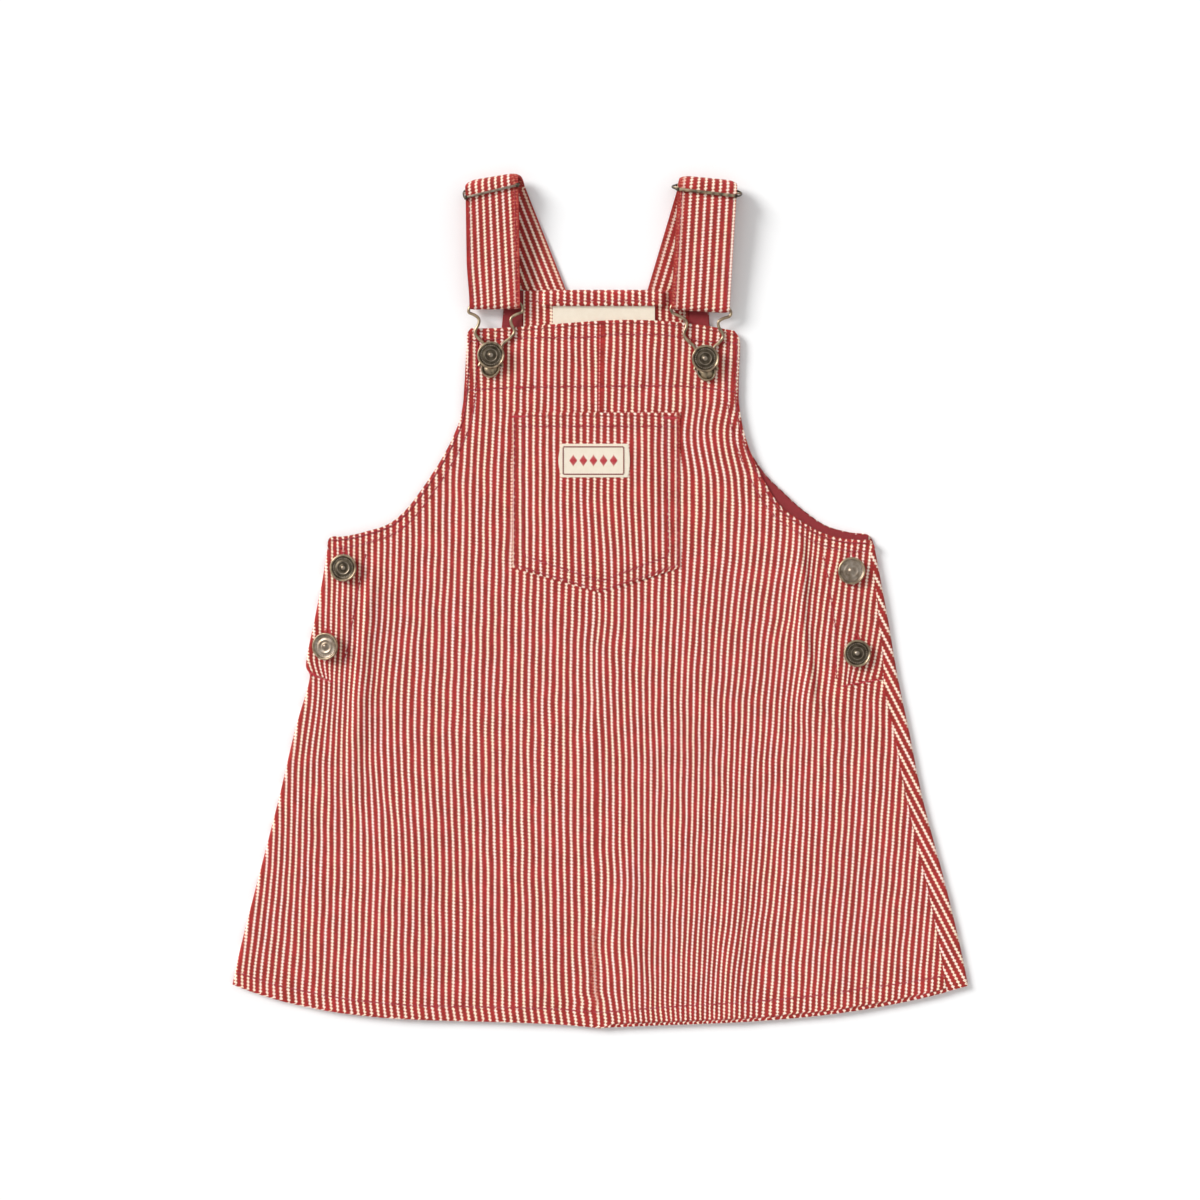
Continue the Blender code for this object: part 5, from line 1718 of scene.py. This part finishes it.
def make_sewing():
    parts = []
    for line in FRONT_TOPSTITCHES:
        parts += run_of_stitches(line, front_face)
    ends = (BACK_FACING.left + NECK_STITCH_INSET, BACK_FACING.right - NECK_STITCH_INSET)
    parts += run_of_stitches([(x, NECK_STITCH_Y) for x in ends],
                             lambda x, y: facing_mid(x, y) + THIN / 2 - SUNK)
    for line in POCKET_SEAMS:
        parts += run_of_stitches(line, pocket_face)
    for spec in STRAPS:
        path = StrapPath(spec)
        for w in (STRAP_STITCH - spec.width / 2, spec.width / 2 - STRAP_STITCH):
            parts += strap_stitches([path.front(w, step / 24) for step in range(25)])
    thread_piece("topstitching", parts, "seam_thread")
    parts = run_of_stitches(CENTRE_STITCH, front_face, length=1.5, space=0.5)
    thread_piece("centre_stitching", parts, "faded_thread")
    parts = []
    for tacks, surface in ((POCKET_BARTACKS, pocket_face), (FRONT_BARTACKS, front_face)):
        for tack in tacks:
            parts += satin_bar(tack, surface)
    for line in OPENING_FEET:
        parts += run_of_stitches(line, front_face, length=2.2, space=0.2)
    for spec in SIDE_BUTTONS:
        parts += buttonhole((spec.x, spec.y + 1.0), 8.0, 0.5, 1.5, front_face)
    thread_piece("satin_stitching", parts, "satin_thread")


SLIDER_LEAN = math.radians(70)  # how steeply the sliders' wire stands
HOOK_WIRE, LOOP_WIRE, RIM_WIRE = 0.85, 0.45, 0.62
WIRE_SIDES, RIM_SIDES = 14, 10
KNOT_INSET, KNOT_REACH, KNOT_FLAT, KNOT_ROUNDING = 0.4, 0.9, 0.6, 0.3


def make_sliders():
    for spec in STRAPS:
        path = StrapPath(spec)
        flat = path.bottom + path.up * spec.length + path.along * spec.shift
        middle = Vector((flat.x, flat.y, SLIDER_Z))
        rise = Vector((-path.past.x * math.cos(SLIDER_LEAN), -path.past.y * math.cos(SLIDER_LEAN),
                       math.sin(SLIDER_LEAN)))
        bar = Vector((path.along.x, path.along.y, 0.0))
        straight = spec.width / 2 + STRAP_PLAY
        points, radii = [], []
        for end, loop in ((1, spec.loop_right), (-1, spec.loop_left)):
            for step in range(25):
                turn = math.pi * (0.5 - step / 24)
                across = end * (straight + loop * math.cos(turn))
                up = end * math.sin(turn)
                askew = spec.askew * across * max(up, 0.0)
                points.append(middle + bar * across + rise * (SLIDER_PITCH * up)
                              + Vector((0.0, askew, 0.0)))
                radii.append(mix(spec.bar, LOOP_WIRE, smooth(math.cos(turn) * 2.5)))
        ends = (-straight - spec.loop_left, straight + spec.loop_right)
        inner = [ends[0], -straight - 0.5, -straight, straight, straight + 0.5, ends[1]]
        parts = [tube([middle + bar * across for across in inner],
                      [LOOP_WIRE, LOOP_WIRE, spec.bar, spec.bar, LOOP_WIRE, LOOP_WIRE],
                      WIRE_SIDES),
                 tube(points, radii, WIRE_SIDES, closed=True)]
        for end in (1, -1):
            knot = middle + bar * (end * (straight - KNOT_INSET)) + rise * SLIDER_PITCH
            knot.y += spec.askew * end * straight
            reach = (-KNOT_REACH, -KNOT_FLAT, KNOT_FLAT, KNOT_REACH)
            ends = spec.knot - KNOT_ROUNDING
            parts.append(tube([knot + bar * aside for aside in reach],
                              [ends, spec.knot, spec.knot, ends], WIRE_SIDES))
        indices = [1 if index > 1 else 0 for index, part in enumerate(parts) for _ in part[1]]
        arcs = len(parts[0][1])
        for ring, radius in enumerate(radii):
            if radius < spec.bar:
                for face in range(WIRE_SIDES):
                    indices[arcs + ring * WIRE_SIDES + face] = 1
        bar_finish = "worn_brass" if spec.side == "left" else "olive_brass"
        new_piece("slider_wire_" + spec.side, mesh_of("slider_wire", *joined(parts), indices),
                  [bar_finish, "browned_brass"], "slider_" + spec.side)


def arc(centre_y, radius, start, end, steps):
    """Points of an arc between two angles in degrees."""
    angles = [math.radians(mix(start, end, step / steps)) for step in range(steps + 1)]
    return [(radius * math.cos(a), centre_y + radius * math.sin(a)) for a in angles]


BEND_STEPS = 6  # stretches of wire between two bends
RIM_INSET, RIM_LIFT = 0.5, 0.35  # the rim round the plate's lobe
PLATE_DROP, PLATE_WALL = 0.4, 0.7


def make_hooks():
    for spec, centre in zip(STRAPS, BIB_BUTTONS):
        path = StrapPath(spec)
        bar = path.bottom - Vector(centre)
        top_bend = HOOK_BENDS[0]

        def place(u, v, height=HOOK_MID):
            """Where (u, v) about the button goes, as the hook's top meets the strap."""
            share = v / top_bend.up
            upper = smooth(share)
            wider = -spec.shoulder_left if u < 0 else spec.shoulder_right
            u += wider * smooth((share - 0.7) * 3.3)
            x = centre[0] + mix(u, path.wide.x * u, upper) + bar.x * share
            x += spec.sway * math.sin(math.pi * min(max(share, 0.0), 1.0))
            y = centre[1] + mix(v, bar.y * share + path.wide.y * u, upper)
            return x, y, mix(height, HOOK_BAR_Z, upper)

        steps = (len(HOOK_BENDS) - 1) * BEND_STEPS
        half = [between(HOOK_BENDS, step / BEND_STEPS) for step in range(steps + 1)]
        wire = [place(-u, v) for u, v in reversed(half)] + [place(u, v) for u, v in half]
        rim = arc(PLATE_LOBE_Y, PLATE_LOBE_RADIUS - RIM_INSET, 18, -198, 32)
        parts = [tube(wire, HOOK_WIRE, WIRE_SIDES),
                 tube([place(u, v, HOOK_MID + RIM_LIFT) for u, v in rim], RIM_WIRE, RIM_SIDES),
                 plate(place)]
        indices = [1 if index > 1 else 0 for index, part in enumerate(parts) for _ in part[1]]
        mesh = mesh_of("hook_wire", *joined(parts), indices)
        new_piece("hook_wire_" + spec.side, mesh, ["rubbed_brass", "olive_brass"],
                  "hook_" + spec.side)


def taken(work, move=(0.0, 0.0, 0.0)):
    """The points and faces of a bmesh, moved; the bmesh is freed."""
    work.verts.index_update()
    points = [vertex.co + Vector(move) for vertex in work.verts]
    faces = [tuple(vertex.index for vertex in face.verts) for face in work.faces]
    work.free()
    return points, faces


def plate(place):
    """The hook's keyhole plate, a flat outline with a thickness."""
    slot = SHANK_RADIUS + GAP
    notch = math.degrees(math.asin(slot / PLATE_TOP_RADIUS))
    outline = arc(0, PLATE_TOP_RADIUS, 90 - notch, -PLATE_WAIST, 14)
    outline += arc(PLATE_LOBE_Y, PLATE_LOBE_RADIUS, -5, -175, 28)
    outline += arc(0, PLATE_TOP_RADIUS, 180 + PLATE_WAIST, 90 + notch, 14)
    outline += arc(0, slot, 180, 360, 14)
    work = bmesh.new()
    corners = [work.verts.new(place(u, v, HOOK_MID - PLATE_DROP)) for u, v in outline]
    floor = work.faces.new(corners)
    raised = bmesh.ops.extrude_face_region(work, geom=[floor])
    for item in raised["geom"]:
        if isinstance(item, bmesh.types.BMVert):
            item.co.z += PLATE_WALL
    bmesh.ops.triangulate(work, faces=work.faces)
    bmesh.ops.recalc_face_normals(work, faces=work.faces)
    return taken(work)


# The cap's face, from its nub out: radius, height against the rim, and finish
# (0 rubbed, 1 browned, 2 worn).
CapRing = namedtuple("CapRing", "radius height finish")
CAP_RINGS = table(
    CapRing,
    (0.0, 0.0, 2), (0.7, -0.05, 2), (1.2, -0.3, 2), (1.55, -0.75, 1),
    (2.6, -0.85, 1), (3.2, -0.68, 1), (3.45, -0.58, 2),
    (3.65, -0.58, 1), (3.95, -0.75, 1), (5.95, -0.9, 1),
    (6.3, -0.55, 1), (6.6, -0.12, 0), (6.95, 0.0, 0),
    (7.3, -0.12, 0), (BUTTON_RADIUS + 0.2, -0.6, 0),
)
BEAD_RING, BEADS, BEAD_RADIUS, BEAD_SINK = 5.3, 32, 0.36, 0.82
CAP_EDGE = 0.7  # height of the cap's side
CAP_STEPS = 72


def make_buttons():
    for spec, centre in zip(STRAPS, BIB_BUTTONS):
        button("bib_button_" + spec.side, *centre, BIB_TOP, CAP_OVER_HOOK, 0.0, False)
    for spec in SIDE_BUTTONS:
        cloth = underside(spec.x, spec.y) + CLOTH
        button(spec.name, spec.x, spec.y, cloth, CAP_OVER_CLOTH, spec.tilt, spec.rubbed)


def button(name, x, y, cloth_z, cap_base, tilt, rubbed):
    """A tack button: its turned cap with a ring of beads, on its shank."""
    drop = math.sin(math.radians(abs(tilt)))
    shank_end = GAP + SHANK_RADIUS * drop
    cap_base = max(cap_base, 2 * GAP + CAP_UNDER_RADIUS * drop)
    top = cap_base + CAP_HEIGHT
    profile = [(ring.radius, top + ring.height) for ring in CAP_RINGS]
    profile += [(BUTTON_RADIUS, cap_base + CAP_EDGE), (CAP_UNDER_RADIUS, cap_base),
                (SHANK_RADIUS, cap_base), (SHANK_RADIUS, shank_end), (0.0, shank_end)]
    points, faces, bands = lathe(profile, CAP_STEPS)
    kinds = [ring.finish for ring in CAP_RINGS] + [0, 1, 1, 1, 1]
    indices = [kinds[min(band + 1, len(kinds) - 1)] for band in bands]
    parts = [(points, faces)]
    for index in range(BEADS):
        turn = 2 * math.pi * index / BEADS
        bead = bmesh.new()
        bmesh.ops.create_icosphere(bead, subdivisions=2, radius=BEAD_RADIUS)
        centre = (BEAD_RING * math.cos(turn), BEAD_RING * math.sin(turn), top - BEAD_SINK)
        parts.append(taken(bead, centre))
        indices += [2] * len(parts[-1][1])
    mesh = mesh_of(name, *joined(parts), indices)
    field = "worn_brass" if rubbed else "browned_brass"
    mesh.transform(Matrix.Translation((x * MM, y * MM, cloth_z * MM))
                   @ Matrix.Rotation(math.radians(tilt), 4, 'Y'))
    new_piece(name.replace("button", "tack"), mesh, ["rubbed_brass", field, "worn_brass"],
              name)


# ---------------- stage
CAMERA_X, CAMERA_HEIGHT = -0.0004, 1.558  # metres, like the floor's sizes
LENS, SENSOR = 85.0, 36.0
FLOOR, FLOOR_DROP = 3.0, 0.0002  # half its width, and how far it lies under the dress
WINDOW_WAY = (0.80, -0.45, -0.56)  # the way its light falls


def make_stage():
    scene = bpy.context.scene
    look = scene.pinafore
    mesh = bpy.data.meshes.new("floor")
    corners = ((-FLOOR, -FLOOR, 0), (FLOOR, -FLOOR, 0), (FLOOR, FLOOR, 0), (-FLOOR, FLOOR, 0))
    mesh.from_pydata(corners, [], [(0, 1, 2, 3)])
    mesh.materials.append(finish("floor_paper"))
    floor = new_object("floor", mesh)
    floor.location.z = -FLOOR_DROP

    camera = bpy.data.cameras.new("camera")
    camera.lens = LENS
    camera.sensor_width = SENSOR
    eye = new_object("camera", camera)
    eye.location = (CAMERA_X, 0.0, CAMERA_HEIGHT)
    scene.camera = eye

    sun = bpy.data.lights.new("window", 'SUN')
    sun.energy = look.window_light
    sun.angle = math.radians(look.window_size)
    window = new_object("window", sun)
    window.rotation_euler = Vector(WINDOW_WAY).to_track_quat('-Z', 'Y').to_euler()

    world = bpy.data.worlds.new("studio")
    world.use_nodes = True
    back = world.node_tree.nodes["Background"]
    back.inputs["Color"].default_value = (1.0, 1.0, 1.0, 1.0)
    back.inputs["Strength"].default_value = look.room_light
    scene.world = world
    scene.view_settings.view_transform = 'Standard'


# ---------------- add-on
def colour_property(label, code):
    return bpy.props.FloatVectorProperty(name=label, description=label + ", as linear colour",
                                         subtype='COLOR', default=linear(code), min=0.0, max=1.0)


class PinaforeLook(bpy.types.PropertyGroup):
    cream_share: bpy.props.FloatProperty(
        name="Cream share", description="Part of the stripe pitch that is cream",
        default=0.33, min=0.1, max=0.9, subtype='FACTOR')
    red: colour_property("Red yarn", "#A42C24")
    red_dark: colour_property("Dark red yarn", "#8E201E")
    crimson: colour_property("Crimson yarn", "#AF2B2A")
    cream: colour_property("Cream yarn", "#FFE7DE")
    cream_warm: colour_property("Yellowed cream yarn", "#FFE9D1")
    cream_edge: colour_property("Edge of the cream stripe", "#F5C29B")
    frayed: colour_property("Frayed edge", "#E08870")
    facing: colour_property("Facing", "#9C2C32")
    facing_dark: colour_property("Shaded facing", "#7E2526")
    label: colour_property("Label tape", "#FAEFDC")
    label_dark: colour_property("Label tape, weft", "#EFE1CB")
    seam_thread: colour_property("Seam thread", "#B02634")
    faded_thread: colour_property("Faded thread", "#F28F88")
    label_thread: colour_property("Label thread", "#8E3A34")
    satin_thread: colour_property("Satin thread", "#CE2C3B")
    brass_light: colour_property("Rubbed brass", "#C4AF90")
    brass: colour_property("Brass", "#837260")
    brass_worn: colour_property("Worn brass", "#AEA193")
    brass_dark: colour_property("Browned brass", "#665C4D")
    brass_black: colour_property("Blackened brass", "#3F372D")
    window_light: bpy.props.FloatProperty(
        name="Window light", description="Strength of the window", default=2.75, min=0.0)
    window_size: bpy.props.FloatProperty(
        name="Window size", description="How wide the window looks, in degrees",
        default=24.0, min=0.0, max=90.0)
    room_light: bpy.props.FloatProperty(
        name="Room light", description="Strength of the light from all round",
        default=0.60, min=0.0)


class PINAFORE_OT_fronts(bpy.types.Operator):
    """Make the two front panels"""
    bl_idname = "pinafore.fronts"
    bl_label = "Front panels"

    def execute(self, context):
        make_fronts()
        return {'FINISHED'}


class PINAFORE_OT_back(bpy.types.Operator):
    """Make the back panel and the facings on it"""
    bl_idname = "pinafore.back"
    bl_label = "Back and facings"

    def execute(self, context):
        make_back()
        return {'FINISHED'}


class PINAFORE_OT_pocket(bpy.types.Operator):
    """Make the chest pocket"""
    bl_idname = "pinafore.pocket"
    bl_label = "Chest pocket"

    def execute(self, context):
        make_pocket()
        return {'FINISHED'}


class PINAFORE_OT_labels(bpy.types.Operator):
    """Make the two labels"""
    bl_idname = "pinafore.labels"
    bl_label = "Labels"

    def execute(self, context):
        make_labels()
        return {'FINISHED'}


class PINAFORE_OT_straps(bpy.types.Operator):
    """Make the shoulder straps"""
    bl_idname = "pinafore.straps"
    bl_label = "Straps"

    def execute(self, context):
        make_straps()
        return {'FINISHED'}


class PINAFORE_OT_sewing(bpy.types.Operator):
    """Make the topstitching, bartacks and buttonholes"""
    bl_idname = "pinafore.sewing"
    bl_label = "Sewing"

    def execute(self, context):
        make_sewing()
        return {'FINISHED'}


class PINAFORE_OT_metal(bpy.types.Operator):
    """Make the sliders, hooks and buttons"""
    bl_idname = "pinafore.metal"
    bl_label = "Sliders, hooks and buttons"

    def execute(self, context):
        make_sliders()
        make_hooks()
        make_buttons()
        return {'FINISHED'}


class PINAFORE_OT_stage(bpy.types.Operator):
    """Make the floor, the camera and the lights"""
    bl_idname = "pinafore.stage"
    bl_label = "Stage"

    def execute(self, context):
        make_stage()
        return {'FINISHED'}


OPERATORS = (PINAFORE_OT_fronts, PINAFORE_OT_back, PINAFORE_OT_pocket, PINAFORE_OT_labels,
             PINAFORE_OT_straps, PINAFORE_OT_sewing, PINAFORE_OT_metal, PINAFORE_OT_stage)


class PINAFORE_PT_panel(bpy.types.Panel):
    """The pieces and looks of the pinafore dress"""
    bl_idname = "PINAFORE_PT_panel"
    bl_label = "Pinafore dress"
    bl_space_type = 'VIEW_3D'
    bl_region_type = 'UI'
    bl_category = "Pinafore"

    def draw(self, context):
        look = context.scene.pinafore
        for name in PinaforeLook.__annotations__:
            self.layout.prop(look, name)
        for operator in OPERATORS:
            self.layout.operator(operator.bl_idname)


def register():
    for kind in (PinaforeLook, *OPERATORS, PINAFORE_PT_panel):
        bpy.utils.register_class(kind)
    bpy.types.Scene.pinafore = bpy.props.PointerProperty(type=PinaforeLook)


def unregister():
    del bpy.types.Scene.pinafore
    for kind in (PINAFORE_PT_panel, *reversed(OPERATORS), PinaforeLook):
        bpy.utils.unregister_class(kind)


def main():
    register()
    for operator in OPERATORS:
        group, name = operator.bl_idname.split(".")
        getattr(getattr(bpy.ops, group), name)()


if __name__ == "__main__":
    main()
